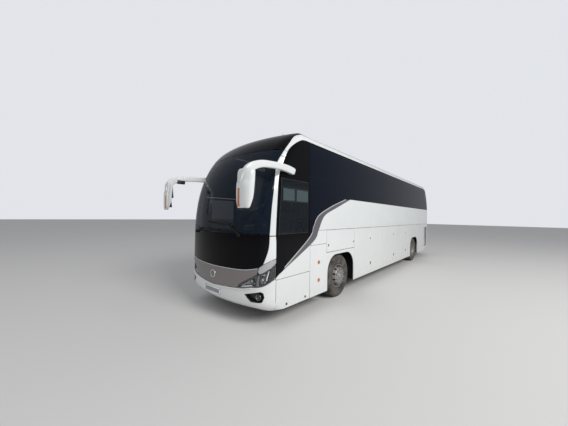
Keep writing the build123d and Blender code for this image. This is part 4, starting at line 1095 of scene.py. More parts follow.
SLAT_COUNT, SLAT_PITCH, SLAT_TILT = 18, 0.0545, radians(38)
duct_black = paint("duct_black", (0.012, 0.012, 0.013), rough=0.7)
middle = AXLE + (GRILLE[0] + GRILLE[1]) / 2
half = (GRILLE[1] - GRILLE[0]) / 2 - 0.006
for side, word in ((1, "left"), (-1, "right")):
    slat = rounded_box((side * 1.236, middle - half, -0.004), (side * 1.2735, middle + half, 0.004), 0.002)
    slat = tilted(slat, (side * 1.255, middle, 0), side * SLAT_TILT, "Y")
    slats = repeat("grille_slats_" + word, [slat], SLAT_COUNT, (0, 0, GRILLE[2] + 0.032), (0, 0, SLAT_PITCH),
                   (0, 0, 0), white)
    duct = make_piece("grille_duct_" + word, [
        rounded_box((side * 1.222, middle - half - 0.02, GRILLE[2] - 0.02),
                    (side * 1.232, middle + half + 0.02, GRILLE[3] + 0.02))], [duct_black])
    fixed(slats)
    fixed(duct)

# Tyres
# Radial road tyres of black rubber with ribbed sidewalls and broken shoulder lugs, grey with dust.
def rubber(name):
    """Worn rubber, powdered with pale road dust in patches."""
    made, tree, surface = shader(name)
    patches = add(tree, "ShaderNodeMapRange", {"Value": pattern(tree, "Noise", 6, Detail=9),
                                               "From Min": 0.30, "From Max": 0.75})
    feed(tree, surface, {"Base Color": blend(tree, (0.030, 0.029, 0.028, 1), (0.150, 0.130, 0.110, 1),
                                             patches),
                         "Roughness": 0.88, "Normal": relief(tree, pattern(tree, "Noise", 220), 0.35, 0.002)})
    return made


AXLE_Z, WHEEL_X, TWIN_X, REAR_AXLE = 0.522, 1.090, 0.755, AXLE + WHEELBASE
TYRE_HALF = (
    # radius, distance from the middle of the tread
    (0.2865, 0.104), (0.292, 0.120), (0.306, 0.128), (0.330, 0.138), (0.336, 0.1415), (0.342, 0.1395),
    (0.400, 0.1485), (0.440, 0.1475), (0.446, 0.1500), (0.452, 0.1462), (0.484, 0.137), (0.500, 0.128),
    (0.510, 0.114), (0.5145, 0.101), (0.5145, 0.066), (0.522, 0.064), (0.522, 0.034), (0.513, 0.032),
    (0.513, 0.022), (0.522, 0.020))
SHOULDER_LUGS = 64
tyre_profile = [*TYRE_HALF, *[(radius, -half) for radius, half in TYRE_HALF[::-1]]]
tyre_rubber = rubber("tyre_rubber_dusty")
WHEELS = {
    # body: CAD tyre node, wheel centres across, along
    "wheel_front_left": ("tyre_front_left", (WHEEL_X,), AXLE),
    "wheel_front_right": ("tyre_front_right", (-WHEEL_X,), AXLE),
    "wheels_rear_left": ("tyres_rear_left", (WHEEL_X, TWIN_X), REAR_AXLE),
    "wheels_rear_right": ("tyres_rear_right", (-WHEEL_X, -TWIN_X), REAR_AXLE),
}
for body, (tyre_name, places, along) in WHEELS.items():
    carcass = make_piece(tyre_name + "_tread", [
        lathe(tyre_profile, (x, along, AXLE_Z), (1, 0, 0), 96, ring=True) for x in places], [tyre_rubber])
    stand_for(carcass, "tyre", tyre_name)
    for k, x in enumerate(places):
        for side in (1, -1):
            lug = rounded_box((side * 0.068, -0.0165, 0.509), (side * 0.113, 0.0165, 0.522), 0.003, 1)
            lug = tilted(lug, (0, 0, 0), pi / SHOULDER_LUGS * (side > 0))
            lugs = repeat(f"{tyre_name}_lugs_{2 * k + (side > 0)}", [lug], SHOULDER_LUGS, (x, along, AXLE_Z),
                          (0, 0, 0), (2 * pi / SHOULDER_LUGS, 0, 0), tyre_rubber)
            fixed(lugs, body)

# Wheel nuts and hubs
# Ten plated nuts on studs hold each wheel. A pressed cap with small bolts closes each hub, and each
# rim has a valve.
nut_steel = paint("nut_steel", (0.42, 0.41, 0.40), rough=0.32, metal=0.9)
NUTS, NUT_CIRCLE, VALVE_CIRCLE = 10, 0.1675, 0.235
# Washer, hexagon and stud end: turned profile, corners
NUT_SHAPES = (
    (((0, 0), (0.024, 0), (0.024, 0.004), (0.0185, 0.0045), (0, 0.0045)), 20),
    (((0, 0.0045), (0.0175, 0.0045), (0.0175, 0.024), (0.014, 0.028), (0, 0.028)), 6),
    (((0, 0.028), (0.0095, 0.028), (0.0095, 0.040), (0.007, 0.043), (0, 0.043)), 12))
BOLT_SHAPE = ((0, 0.016), (0.005, 0.0155), (0.0065, 0.012), (0.0065, 0), (0, 0))
VALVE_SHAPE = ((0, 0.020), (0.004, 0.020), (0.005, -0.02), (0, -0.02))
for body, (tyre_name, places, along) in WHEELS.items():
    out = 1 if places[0] > 0 else -1
    # Outward distances of the nut face, cap and valve, then the cap's radius and bolts
    face, cap_x, valve_x, cap_r, bolts = ((1.2575, 1.2715, 1.225, 0.052, 5) if "front" in body
                                          else (0.9365, 1.1125, 0.985, 0.070, 8))
    nut = [lathe(shape, (0, 0, NUT_CIRCLE), (out, 0, 0), corners) for shape, corners in NUT_SHAPES]
    nuts = repeat("wheel_nuts_" + body, nut, NUTS, (out * face, along, AXLE_Z), (0, 0, 0),
                  (2 * pi / NUTS, 0, 0), nut_steel)
    fixed(nuts, body)
    cap_parts = [lathe([(0, 0.014), (cap_r * 0.5, 0.013), (cap_r * 0.85, 0.008), (cap_r, 0), (cap_r, -0.008),
                        (0, -0.008)], (out * cap_x, along, AXLE_Z), (out, 0, 0), 40)]
    bolt_r = cap_r * 0.80
    for k in range(bolts):
        a = 2 * pi * k / bolts
        cap_parts.append(lathe(BOLT_SHAPE, (out * cap_x, along + bolt_r * sin(a), AXLE_Z + bolt_r * cos(a)),
                               (out, 0, 0), 10))
    cap_parts.append(lathe(VALVE_SHAPE, (out * valve_x, along, AXLE_Z + VALVE_CIRCLE), (out, 0, -0.3), 10))
    hub_cap = make_piece("hub_cap_" + body, cap_parts, [nut_steel])
    fixed(hub_cap, body)

# Mirrors
# Each hangs on a deep flat arm, moulded in white, that sweeps forward from the pillar and folds down
# over the front of the housing as a hood. Two glasses look back; an amber repeater faces ahead.
def through(rows, count):
    """More rows of numbers on a smooth line through the given ones."""
    rows = np.array(rows, float)
    ends = np.concatenate((rows[:1], rows, rows[-1:]))
    made = []
    for k in range(len(rows) - 1):
        a, b, c, d = ends[k:k + 4]
        for t in np.arange(count) / count:
            made.append(0.5 * (2 * b + (c - a) * t + (2 * a - 5 * b + 4 * c - d) * t * t
                               + (3 * b - a - 3 * c + d) * t ** 3))
    return np.array(made + [rows[-1]])


def squared_ring(centre, across, up, power, count=32):
    """A rounded-square ring about a centre, from its half-width and half-height as vectors."""
    ring = []
    for k in range(count):
        a = 2 * pi * (k + 0.5) / count
        wide, tall = (abs(v) ** (2 / power) * np.sign(v) for v in (cos(a), sin(a)))
        ring.append(centre + across * wide + up * tall)
    return np.array(ring)


ARM_ROWS = (
    # across, behind the front axle, height, half width, half depth
    (1.300, -1.918, 2.840, 0.024, 0.056), (1.302, -1.935, 2.843, 0.032, 0.064),
    (1.318, -2.120, 2.862, 0.040, 0.066), (1.350, -2.360, 2.864, 0.043, 0.060),
    (1.372, -2.600, 2.850, 0.044, 0.058), (1.388, -2.800, 2.828, 0.045, 0.060),
    (1.396, -2.930, 2.795, 0.046, 0.062), (1.392, -3.030, 2.752, 0.047, 0.066),
    (1.376, -3.105, 2.690, 0.048, 0.066), (1.354, -3.160, 2.625, 0.046, 0.040),
    (1.334, -3.194, 2.570, 0.042, 0.018), (1.320, -3.2080, 2.525, 0.036, 0.008),
    (1.312, -3.2095, 2.495, 0.024, 0.006))
HOUSING_ROWS = (
    # height, half width, front face, rear face
    (2.705, 0.070, -3.160, -3.045), (2.695, 0.092, -3.180, -3.043), (2.650, 0.116, -3.194, -3.047),
    (2.520, 0.121, -3.197, -3.056), (2.460, 0.122, -3.212, -3.060), (2.300, 0.119, -3.213, -3.075),
    (2.200, 0.106, -3.212, -3.098), (2.130, 0.090, -3.205, -3.122), (2.105, 0.076, -3.198, -3.134))
HOUSING_X, GLASS_HALF = 1.405, 0.098
GLASS_EDGE = 0.010
# Main and wide-angle glasses: foot, top, place, slope
REAR_GLASSES = ((2.365, 2.668, -3.058, 0.085), (2.150, 2.345, -3.087, 0.150))
arm_rows = through(ARM_ROWS, 4)
arm_rings = []
for k, (x, y, z, half_w, half_d) in enumerate(arm_rows):
    along = arm_rows[min(k + 1, len(arm_rows) - 1)][:3] - arm_rows[max(k - 1, 0)][:3]
    along /= np.linalg.norm(along)
    across = np.array((1.0, 0, 0)) - along * along[0]
    across /= np.linalg.norm(across)
    up = np.cross(across, along)
    arm_rings.append(squared_ring(np.array((x, AXLE + y, z)), across * half_w, up * half_d, 4.6))
housing_rings = []
for z, half_w, front_y, rear_y in through(HOUSING_ROWS, 3):
    middle = np.array((HOUSING_X, AXLE + (front_y + rear_y) / 2, z))
    half_y = (rear_y - front_y) / 2
    ring = squared_ring(middle, np.array((half_w, 0, 0)), np.array((0, half_y, 0)), 3.6, 40)
    # The front of the housing is wider and leans in towards the coach
    forward = np.clip((middle[1] - ring[:, 1]) / half_y, 0, 1) ** 1.5
    ring[:, 0] = HOUSING_X + (ring[:, 0] - HOUSING_X) * (1 + 0.10 * forward) - 0.085 * forward
    housing_rings.append(ring)
mirror_black = paint("mirror_black", (0.015, 0.015, 0.016), rough=0.4)
mirror_silver = paint("mirror_glass", (0.62, 0.64, 0.66), rough=0.03, metal=1.0)
amber = paint("amber_lens", (0.50, 0.15, 0.012), rough=0.12, coat=0.6)


def rear_block(z0, z1, y, slope, inset, front, edge, finish):
    """A block set into the rear face: a mirror glass, or the black rim round it."""
    made = rounded_box((HOUSING_X - GLASS_HALF + inset, AXLE + y - 0.010, z0 + inset),
                       (HOUSING_X + GLASS_HALF - inset, AXLE + y + front, z1 - inset), edge, finish=finish)
    return tilted(made, (HOUSING_X, AXLE + y, (z0 + z1) / 2), slope)


mirror_parts = [loft(arm_rings), loft(housing_rings)]
for row in REAR_GLASSES:
    mirror_parts += [rear_block(*row, 0, 0.006, 0.005, 1), rear_block(*row, GLASS_EDGE, 0.0085, 0.002, 2)]
# Amber repeater, root, elbow and foot: low and high corners, edge, finish
for (x0, y0, z0), (x1, y1, z1), edge, finish in (
        ((1.282, -3.2165, 2.125), (1.328, -3.190, 2.405), 0.006, 3),
        ((1.252, -2.080, 2.770), (1.300, -1.960, 2.878), 0.010, 1),
        ((1.338, -2.940, 2.705), (1.400, -2.760, 2.790), 0.010, 1),
        ((1.325, -3.190, 2.097), (1.440, -3.140, 2.112), 0.005, 1)):
    mirror_parts.append(rounded_box((x0, AXLE + y0, z0), (x1, AXLE + y1, z1), edge, finish=finish))
for word, parts in (("left", mirror_parts), ("right", [flipped(part) for part in mirror_parts])):
    mirror_piece = make_piece("mirror_" + word + "_moulded", parts,
                              [white, mirror_black, mirror_silver, amber])
    stand_for(mirror_piece, "white_paint", "mirror_" + word)

# Doors
# Swing-out passenger doors, one ahead of the front wheel and one amidships: a framed leaf with a
# bonded pane over a white skin, hung by brackets on one swinging arm.
DOOR_POST_X, DOOR_GAP, DOOR_THICK = -1.170, 0.006, 0.044
BRACKET_LEVELS, PIN_Z, GRIP_REACH = (1.365, 1.435), 1.4, 0.4
FRONT_POST, MID_POST = AXLE + FRONT_DOOR[0] + 0.07, AXLE + MID_DOOR[1] - 0.07
door_glass = glass("door_glass", (0.010, 0.014, 0.020), 0.62, shine=0.3)
door_steel = paint("door_steel", (0.05, 0.05, 0.052), rough=0.45, metal=0.4)
door_finishes = [black_gloss, white, door_glass, door_steel]


def door_part(loop, holes=(), finish=0, **how):
    """A door panel drawn as if on the left and set on the right."""
    return flipped(side_panel(loop, holes, finish=finish, **how))


def leaf_brackets(grip_y):
    """The two lugs and pin by which the arm carries a leaf."""
    lugs = [rounded_box((-1.233, grip_y - 0.04, z - 0.012),
                        (DOOR_POST_X + 0.03, grip_y + 0.04, z + 0.012), finish=3) for z in BRACKET_LEVELS]
    return [*lugs, lathe([(0, -0.05), (0.012, -0.05), (0.012, 0.05), (0, 0.05)], (DOOR_POST_X, grip_y, PIN_Z),
                         (0, 0, 1), 16, finish=3)]


leaf_foot, leaf_top = DOOR_SILL + DOOR_GAP, DOOR_TOP - DOOR_GAP
front_start, front_stop = FRONT_DOOR[0] + DOOR_GAP, FRONT_DOOR[1] - DOOR_GAP
upper_leaf = [*cut(swoosh_foot, front_start, front_stop), *cut(swoosh_outer, front_start, front_stop),
              *dense([(front_stop, 1.7), (front_stop, leaf_top), (front_start, leaf_top),
                      (front_start, 1.0)], 0.15)]
lower_leaf = [*cut(swoosh_inner, front_start, front_stop),
              *dense([(front_stop, 1.2), (front_stop, leaf_foot), (front_start, leaf_foot),
                      (front_start, 0.8)], 0.15)]
front_light = closed([(-2.17, 1.12), (-1.40, 1.63), (-1.40, 2.37), (-2.17, 2.37)], 0.1)
front_leaf = make_piece("front_door_panel", [
    door_part(upper_leaf, (front_light,), thick=DOOR_THICK, gap=0.001),
    door_part(lower_leaf, finish=1, thick=DOOR_THICK, gap=0.001),
    door_part(front_light, finish=2, thick=0.008, gap=0.001, sunk=0.003),
    *[(*flipped(part)[:3], len(door_finishes) + part[3])
      for part in swoosh_between(front_start, front_stop, thick=DOOR_THICK)],
    *leaf_brackets(FRONT_POST + GRIP_REACH)], [*door_finishes, swoosh_grey, swoosh_light])
stand_for(front_leaf, "dark_glass", "front_door_leaf")
mid_leaf_loop = box_line(MID_DOOR[0] + DOOR_GAP, MID_DOOR[1] - DOOR_GAP, leaf_foot, leaf_top, 0.15)
mid_light = box_line(5.065, 5.735, 1.32, 2.36, 0.1)
mid_leaf = make_piece("mid_door_panel", [
    door_part(mid_leaf_loop, (mid_light,), 1, thick=DOOR_THICK, gap=0.001, step=0.2),
    door_part(mid_light, finish=2, thick=0.008, gap=0.001, sunk=0.003),
    *leaf_brackets(MID_POST - GRIP_REACH)], door_finishes)
stand_for(mid_leaf, "dark_glass", "mid_door_leaf")

# Flaps
# Flat sandwich panels with turned edges, hung from their top edges along the sides.
FLAPS = {
    # name: side, start, end, foot, top
    "corner_flap_left": (1, SEAM_A, SEAM_B, SKIRT, CORNER_TOP),
    "arch_flap_left": (1, SEAM_C, SEAM_D, ARCH_FLAP_FOOT, SEAM_Z),
    "luggage_flap_left_1": (1, SEAM_D, SEAM_E, SKIRT, SEAM_Z),
    "luggage_flap_left_2": (1, SEAM_E, SEAM_F, SKIRT, SEAM_Z),
    "luggage_flap_left_3": (1, SEAM_F, SEAM_G, SKIRT, SEAM_Z),
    "luggage_flap_right_1": (-1, SEAM_D, SEAM_E, SKIRT, SEAM_Z),
    "luggage_flap_right_2": (-1, SEAM_E, MID_DOOR[0], SKIRT, SEAM_Z),
}
LOCKS = ((-2.036, 0.358), (-1.457, 0.357), (-0.573, 1.332), (0.732, 1.331), (1.886, 1.354), (4.107, 1.377),
         (5.684, 1.369))
HANDLES = ((1.908, 0.595), (4.131, 0.615), (5.709, 0.628))
REFLECTORS = ((-0.972, 0.991), (-0.971, 0.602))
lock_black = paint("lock_black", (0.014, 0.014, 0.015), rough=0.35)


def stud(y, z, radius, tall=1.0, finish=1, rise=0.005):
    """A low round or oval boss on the side."""
    shape = [(0, rise * 0.6), (radius * 0.55, rise * 0.6), (radius * 0.7, rise), (radius * 0.92, rise),
             (radius, rise * 0.4), (radius, -0.010), (0, -0.010)]
    points, *rest = lathe(shape, (HALF_WIDTH, AXLE + y, z), (1, 0, 0), 24, finish=finish)
    points[:, 2] = z + (points[:, 2] - z) * tall
    return points, *rest


for name, (side, start, stop, low, top) in FLAPS.items():
    parts = [side_panel(box_line(start, stop, low, top, 0.2), thick=0.044, gap=0.005, step=0.3, edge=0.004)]
    parts += [stud(y, z, 0.024) for y, z in LOCKS if start < y < stop and low < z < top]
    parts += [stud(y, z, 0.028, 1.8) for y, z in HANDLES if start < y < stop]
    flap = make_piece(name + "_skin", parts if side > 0 else [flipped(part) for part in parts],
                      [white, lock_black])
    stand_for(flap, "white_paint", name)
reflector_parts = [stud(y, z, 0.040, finish=0, rise=0.012) for y, z in REFLECTORS]
reflectors = make_piece("side_reflectors", both_sides(reflector_parts), [amber])
fixed(reflectors)

# Roof
# White sheet over the frames, rolled down at its edges to the glass and bowed at the tail.
CORNER_START, CORNER_END, CORNER_X = 9.16, 9.60, 1.11
tail_corner = on_side(dense([(CORNER_START, GLASS_TOP), (CORNER_END, GLASS_TOP)]))
tail_top = on_end(dense([(CORNER_X, GLASS_TOP), (0, GLASS_TOP)]), 1)
roof_loop = symmetric(
    on_top(dense([(0, CAP_REAR), (CAP_REAR_X, CAP_REAR)])),
    on_side(dense([(CAP_REAR, CAP_SIDE_Z), (CAP_REAR, GLASS_TOP)])),
    on_side(dense([(-1.1, GLASS_TOP), (GLASS_END, GLASS_TOP)], 0.15)),
    tail_corner, tail_top)
roof = make_piece("roof", [skin_mesh(roof_sheet, roof_loop, thick=0.03, step=0.12)], [white])
stand_for(roof, "white_paint", "roof_panel")

# Roof hatches and aerial
# Two moulded ventilation hatches on black rubber gaskets, and a small dome aerial on the cap.
HATCHES, HATCH_HALF, HATCH_FOOT, RIB_PLACES = ((0.900, 1.650), (7.300, 8.050)), 0.36, 3.76, (-0.18, 0, 0.18)
GASKET, RIB_HALF, RIB_INSET = 0.012, 0.03, 0.08
hatch_parts = []
for y0, y1 in HATCHES:
    start, stop, wide = AXLE + y0, AXLE + y1, HATCH_HALF + GASKET
    hatch_parts.append(rounded_box((-HATCH_HALF, start, HATCH_FOOT), (HATCH_HALF, stop, 3.835), 0.022, 4))
    hatch_parts.append(rounded_box((-wide, start - GASKET, HATCH_FOOT), (wide, stop + GASKET, 3.807), 0.006,
                                   finish=1))
    hatch_parts += [rounded_box((x - RIB_HALF, start + RIB_INSET, 3.82),
                                (x + RIB_HALF, stop - RIB_INSET, 3.842), 0.007) for x in RIB_PLACES]
hatches = make_piece("roof_hatches", hatch_parts, [white, window_frame])
aerial_foot = on_top([(0.68, -1.52)])[0]
aerial = make_piece("aerial", [
    lathe([(0, 0.040), (0.014, 0.038), (0.026, 0.028), (0.034, 0.010), (0.038, -0.008), (0, -0.008)],
          aerial_foot, (0, 0, 1), 28)], [white])
fixed(hatches)
fixed(aerial)

# Air-conditioning pod
# A low moulded housing in body white over the rear of the roof, with three guarded fans and
# intake slots down its sides.
POD_FOOT = 3.70
POD_ROWS = (
    # behind the front axle, half width, top
    (2.998, 0.500, 3.740), (3.020, 0.600, 3.775), (3.060, 0.645, 3.825), (3.160, 0.672, 3.855),
    (3.300, 0.680, 3.862), (4.475, 0.680, 3.864), (5.650, 0.680, 3.862), (5.800, 0.672, 3.850),
    (5.900, 0.645, 3.820), (5.945, 0.550, 3.750))
FANS, FAN_R, FAN_TOP, FAN_SPOKES, GUARD_RINGS = (
    (3.800, 4.475, 5.150), 0.200, 3.864, 8, (0.045, 0.085, 0.125, 0.165))
POD_SLOTS, SLOT_START, SLOT_PITCH, SLOT_RISE = 14, 3.40, 0.165, 0.026
pod_rings = [squared_ring(np.array((0, AXLE + y, (POD_FOOT + top) / 2)), np.array((half_w, 0, 0)),
                          np.array((0, 0, (top - POD_FOOT) / 2)), 5.0, 48) for y, half_w, top in POD_ROWS]
pod = make_piece("pod_cover", [loft(pod_rings)], [white])
stand_for(pod, "white_paint", "roof_ac_pod")
fan_parts = []
for y in FANS:
    middle = (0, AXLE + y, FAN_TOP)
    # Dark well, guard rings, white rim and hub, as profile, facets, closed ring or not, finish
    shapes = [(((0, 0.001), (FAN_R - 0.004, 0.001), (FAN_R - 0.004, -0.012), (0, -0.012)), 48, False, 0)]
    shapes += [(((r - 0.004, 0.006), (r, 0.0105), (r + 0.004, 0.006), (r, 0.0015)), 40, True, 1)
               for r in GUARD_RINGS]
    shapes.append((((FAN_R - 0.008, -0.004), (FAN_R - 0.006, 0.011), (FAN_R + 0.004, 0.013),
                    (FAN_R + 0.016, -0.004)), 48, True, 2))
    shapes.append((((0, 0.012), (0.034, 0.011), (0.042, 0.004), (0, 0.004)), 28, False, 1))
    fan_parts += [lathe(shape, middle, (0, 0, 1), facets, ring, finish)
                  for shape, facets, ring, finish in shapes]
    spoke = rounded_box((0.036, AXLE + y - 0.004, FAN_TOP + 0.003),
                        (FAN_R - 0.004, AXLE + y + 0.004, FAN_TOP + 0.009), 0.002, 1, finish=1)
    fan_parts += [tilted(spoke, middle, 2 * pi * k / FAN_SPOKES, "Z") for k in range(FAN_SPOKES)]
fans = make_piece("pod_fans", fan_parts, [duct_black, nut_steel, white])
fixed(fans)
slot_left = rounded_box((0.672, -0.055, 3.775), (0.684, 0.055, 3.790), 0.004)
for k, slot in enumerate((slot_left, slot_left, flipped(slot_left), flipped(slot_left))):
    slots = repeat(f"pod_slots_{k}", [slot], POD_SLOTS, (0, AXLE + SLOT_START, SLOT_RISE * (k % 2)),
                   (0, SLOT_PITCH, 0), (0, 0, 0), duct_black)
    fixed(slots)

# Tail
# A white moulded tail wraps round the corners, with the rear window, lamps and engine lid let in.
TAIL_FOOT, TAIL_FOOT_X, WRAP_START = 0.60, 1.20, 10.0
WINDOW_REAR = (-1.010, 1.010, 2.380, 3.330)
LID = (-0.890, 0.890, 0.620, 1.700)
LAMPS = (0.960, 1.200, 0.760, 1.560)


def end_box(x0, x1, z0, z1, step=0.06):
    """A closed rectangle on the tail."""
    return on_end(box_line(x0, x1, z0, z1, step), 1)


window_loop, lid_loop, lamp_rear_loop = end_box(*WINDOW_REAR), end_box(*LID), end_box(*LAMPS)
tail_loop = symmetric(
    on_end(dense([(0, TAIL_FOOT), (TAIL_FOOT_X, TAIL_FOOT)]), 1),
    on_side(dense([(WRAP_START, TAIL_FOOT), (TAIL_SEAM, TAIL_FOOT)], 0.03)),
    on_side(dense([(TAIL_SEAM, 0.62), (TAIL_SEAM, BELT)], 0.08)),
    on_side(glass_tail[1:]), tail_corner, tail_top)
tail_holes = [window_loop, lid_loop, lamp_rear_loop, mirror_points(lamp_rear_loop)]
tail = make_piece("tail_moulding", [skin_mesh(tail_sheet, tail_loop, tail_holes, thick=0.03, step=0.08)],
                  [white])
stand_for(tail, "white_paint", "rear_mask")
rear_pane = make_piece("rear_pane", [skin_mesh(tail_sheet, window_loop, thick=0.01)], [side_glass])
stand_for(rear_pane, "dark_glass", "rear_window")

# Tail lamps
# On each corner a black moulded base carries four round lenses, one above the other: indicator,
# brake, tail and reversing lamp. A slim brake lamp sits over the rear window.
LENS_X, LENS_WAY = 1.080, np.array((0.20, 0.98, 0))
# height, radius, finish
ROUND_LENSES = ((1.455, 0.075, 2), (1.260, 0.085, 1), (1.065, 0.085, 1), (0.875, 0.075, 3))
rear_lens = paint("rear_lens_red", (0.42, 0.012, 0.010), rough=0.08, coat=0.8)
clear_lens = paint("rear_lens_clear", (0.62, 0.64, 0.66), rough=0.08, coat=0.8)
lamp_side = [skin_mesh(tail_sheet, lamp_rear_loop, thick=0.02, sunk=0.004)]
for z, radius, finish in ROUND_LENSES:
    place = on_end([(LENS_X, z)], 1)[0]
    lamp_side.append(lathe([(0, 0.000), (radius * 0.5, -0.001), (radius * 0.9, -0.005), (radius, -0.012),
                            (radius, -0.03), (0, -0.03)], place, LENS_WAY, 40, finish=finish))
    lamp_side.append(lathe([(radius + 0.001, -0.03), (radius + 0.001, -0.006), (radius + 0.008, -0.004),
                            (radius + 0.012, -0.012), (radius + 0.012, -0.03)], place, LENS_WAY, 40,
                           ring=True, finish=4))
reflector = end_box(0.86, 0.97, 0.520, 0.560, 0.03)
lamp_side.append(skin_mesh(tail_sheet, reflector, thick=0.006, gap=0.0005, edge=0.0015, sunk=-0.002,
                           finish=1))
high_brake = skin_mesh(tail_sheet, end_box(-0.16, 0.16, 3.375, 3.402, 0.05), thick=0.008, gap=0.0005,
                       sunk=-0.004, finish=1)
tail_lamps = make_piece("tail_lamp_lenses", [*both_sides(lamp_side), high_brake],
                        [lamp_black, rear_lens, amber, clear_lens, chrome])
stand_for(tail_lamps, "tail_lamp", "tail_lamps")

# Rear bumper
# One white moulding under the tail, drawn in at its ends to meet the rear quarters.
REAR_FOOT = 0.494
rear_bumper_loop = symmetric(
    on_end(dense([(0, REAR_FOOT), (TAIL_FOOT_X, REAR_FOOT)]), 1),
    on_side(dense([(WRAP_START, 0.463), (TAIL_SEAM, 0.443)], 0.03)),
    on_side([(TAIL_SEAM, 0.47), (TAIL_SEAM, 0.52), (TAIL_SEAM, 0.57)]),
    on_side(dense([(TAIL_SEAM, TAIL_FOOT), (WRAP_START, TAIL_FOOT)], 0.03)),
    on_end(dense([(TAIL_FOOT_X, TAIL_FOOT), (0, TAIL_FOOT)]), 1))
rear_bumper = make_piece("rear_bumper_moulding", [
    skin_mesh(tail_sheet, rear_bumper_loop, thick=0.03, step=0.04)], [white])
stand_for(rear_bumper, "white_paint", "rear_bumper")

# Engine lid
# A white lid hinged along its top edge, pressed with two banks of hooded louvres over a dark liner.
LOUVRE_FOOT, LOUVRE_PITCH, LOUVRE_SLOT, LOUVRE_ROWS = 0.780, 0.042, 0.016, 9
slots, hoods = [], []
for k in range(LOUVRE_ROWS):
    z = LOUVRE_FOOT + k * LOUVRE_PITCH
    slots += [end_box(0.090, 0.650, z, z + LOUVRE_SLOT), end_box(-0.650, -0.090, z, z + LOUVRE_SLOT)]
    hoods += both_sides([skin_mesh(tail_sheet, end_box(0.082, 0.658, z + 0.011, z + 0.026), thick=0.014,
                                   gap=0.0005, edge=0.004, sunk=-0.007)])
liner = skin_mesh(tail_sheet, end_box(-0.72, 0.72, 0.74, 1.20), thick=0.004, gap=0.001, sunk=0.0442, finish=1)
grip = skin_mesh(tail_sheet, end_box(-0.14, 0.14, 0.672, 0.702, 0.04), thick=0.014, gap=0.0005, edge=0.005,
                 sunk=-0.008, finish=1)
lid_piece = make_piece("engine_lid_skin", [
    skin_mesh(tail_sheet, lid_loop, slots, thick=0.044, gap=0.005, edge=0.0015), liner, *hoods, grip],
    [white, duct_black])
stand_for(lid_piece, "white_paint", "engine_lid")

# Seats
# Foam pads in woven cloth over a moulded shell: sewn channels across, a seam round every edge.
# The passengers' seats stand in pairs on steel legs; the driver's has an air-sprung foot.
SEAT_PITCH, SEAT_START, CABIN_FLOOR, CAB_FLOOR = 0.760, -0.820, 1.430, 0.950
SEAT_RAKE, SEAT_HALF, PAIR_MIDDLES, LEG_PLACES = 0.110, 0.222, (0.232, 0.688), (0.12, 0.80)
# node, the pair's right edge, runs of (rows skipped, rows): the middle door takes two rows' place
SEAT_ROWS = (("seats_left", 0.270, ((0, 13),)), ("seats_right", -1.190, ((0, 7), (9, 4))))
# across, behind the front axle, floor, rake, half width
DRIVER_SEAT = (0.620, -1.780, CAB_FLOOR, 0.090, 0.240)
SPRING_FOOT = ((0, 0.330), (0.150, 0.325), (0.150, 0.290), (0.115, 0.270), (0.145, 0.235), (0.115, 0.200),
               (0.145, 0.165), (0.115, 0.130), (0.145, 0.095), (0.115, 0.060), (0.160, 0.040), (0.160, 0),
               (0, 0))
PIPING = 0.004


def cloth(name, ground, stripe):
    """Woven seat cloth: crossed threads, with soft broken stripes of a second colour."""
    made, tree, surface = shader(name)
    stripes = pattern(tree, "Wave", 5.5, Distortion=2.5, Detail=3)
    weave = pattern(tree, "Voronoi", 260, "Distance")
    feed(tree, surface, {"Base Color": blend(tree, (*ground, 1), (*stripe, 1), stripes),
                         "Normal": relief(tree, weave, 0.5, 0.0015), "Roughness": 0.92, "Sheen Weight": 0.3})
    return made


def soft_pad(place, along, up, half_w, length, thick, narrow, channels, count=17):
    """A stuffed pad: crowned, its sides drawn in between the corners, grooved where it is sewn."""
    grid, fields = [], []
    for j in range(count):
        v = -cos(pi * j / (count - 1))
        row, heights = [], []
        for i in range(count):
            u = -cos(pi * i / (count - 1))
            wide = half_w * (1 - narrow * max(0, v) ** 2) * (1 - 0.045 * (1 - v * v)) * (1 - 0.07 * v ** 12)
            far = length / 2 * (1 - 0.035 * (1 - u * u)) * (1 - 0.05 * u ** 12)
            crown = max(0, (1 - abs(u) ** 7) * (1 - abs(v) ** 9)) ** 0.38
            bolster = 1 + 0.16 * min(1, (abs(u) / 0.8) ** 3) - 0.22 * np.exp(-((abs(u) - 0.60) / 0.07) ** 2)
            sewn = 1 - sum(0.20 * np.exp(-((v - c) / 0.05) ** 2) for c in channels)
            row.append(place + np.array((u * wide, 0, 0)) + along * (v * far))
            heights.append((thick * crown * bolster * sewn, -0.25 * thick * crown))
        grid.append(row)
        fields.append(heights)
    points, faces, top, low = [], [], {}, {}
    for j in range(count):
        for i in range(count):
            rim = i in (0, count - 1) or j in (0, count - 1)
            top[i, j] = len(points)
            points.append(grid[j][i] + up * (0 if rim else fields[j][i][0]))
            low[i, j] = top[i, j]
            if not rim:
                low[i, j] = len(points)
                points.append(grid[j][i] + up * fields[j][i][1])
    for j in range(count - 1):
        for i in range(count - 1):
            faces.append((top[i, j], top[i + 1, j], top[i + 1, j + 1], top[i, j + 1]))
            faces.append((low[i, j], low[i, j + 1], low[i + 1, j + 1], low[i + 1, j]))
    points = np.array(points)
    round_rim = ([(i, 0) for i in range(count - 1)] + [(count - 1, j) for j in range(count - 1)]
                 + [(i, count - 1) for i in range(count - 1, 0, -1)]
                 + [(0, j) for j in range(count - 1, 0, -1)])
    line = points[[top[at] for at in round_rim]]
    outward = line - line.mean(0)
    outward -= np.outer(outward @ up, up)
    outward /= np.linalg.norm(outward, axis=1)[:, None]
    piping = loft([line + outward * PIPING * cos(a) + up * PIPING * sin(a) for a in np.arange(6) * pi / 3],
                  ring=True)
    return [(points, facing_out(points, faces), np.zeros_like(points), 0), piping]


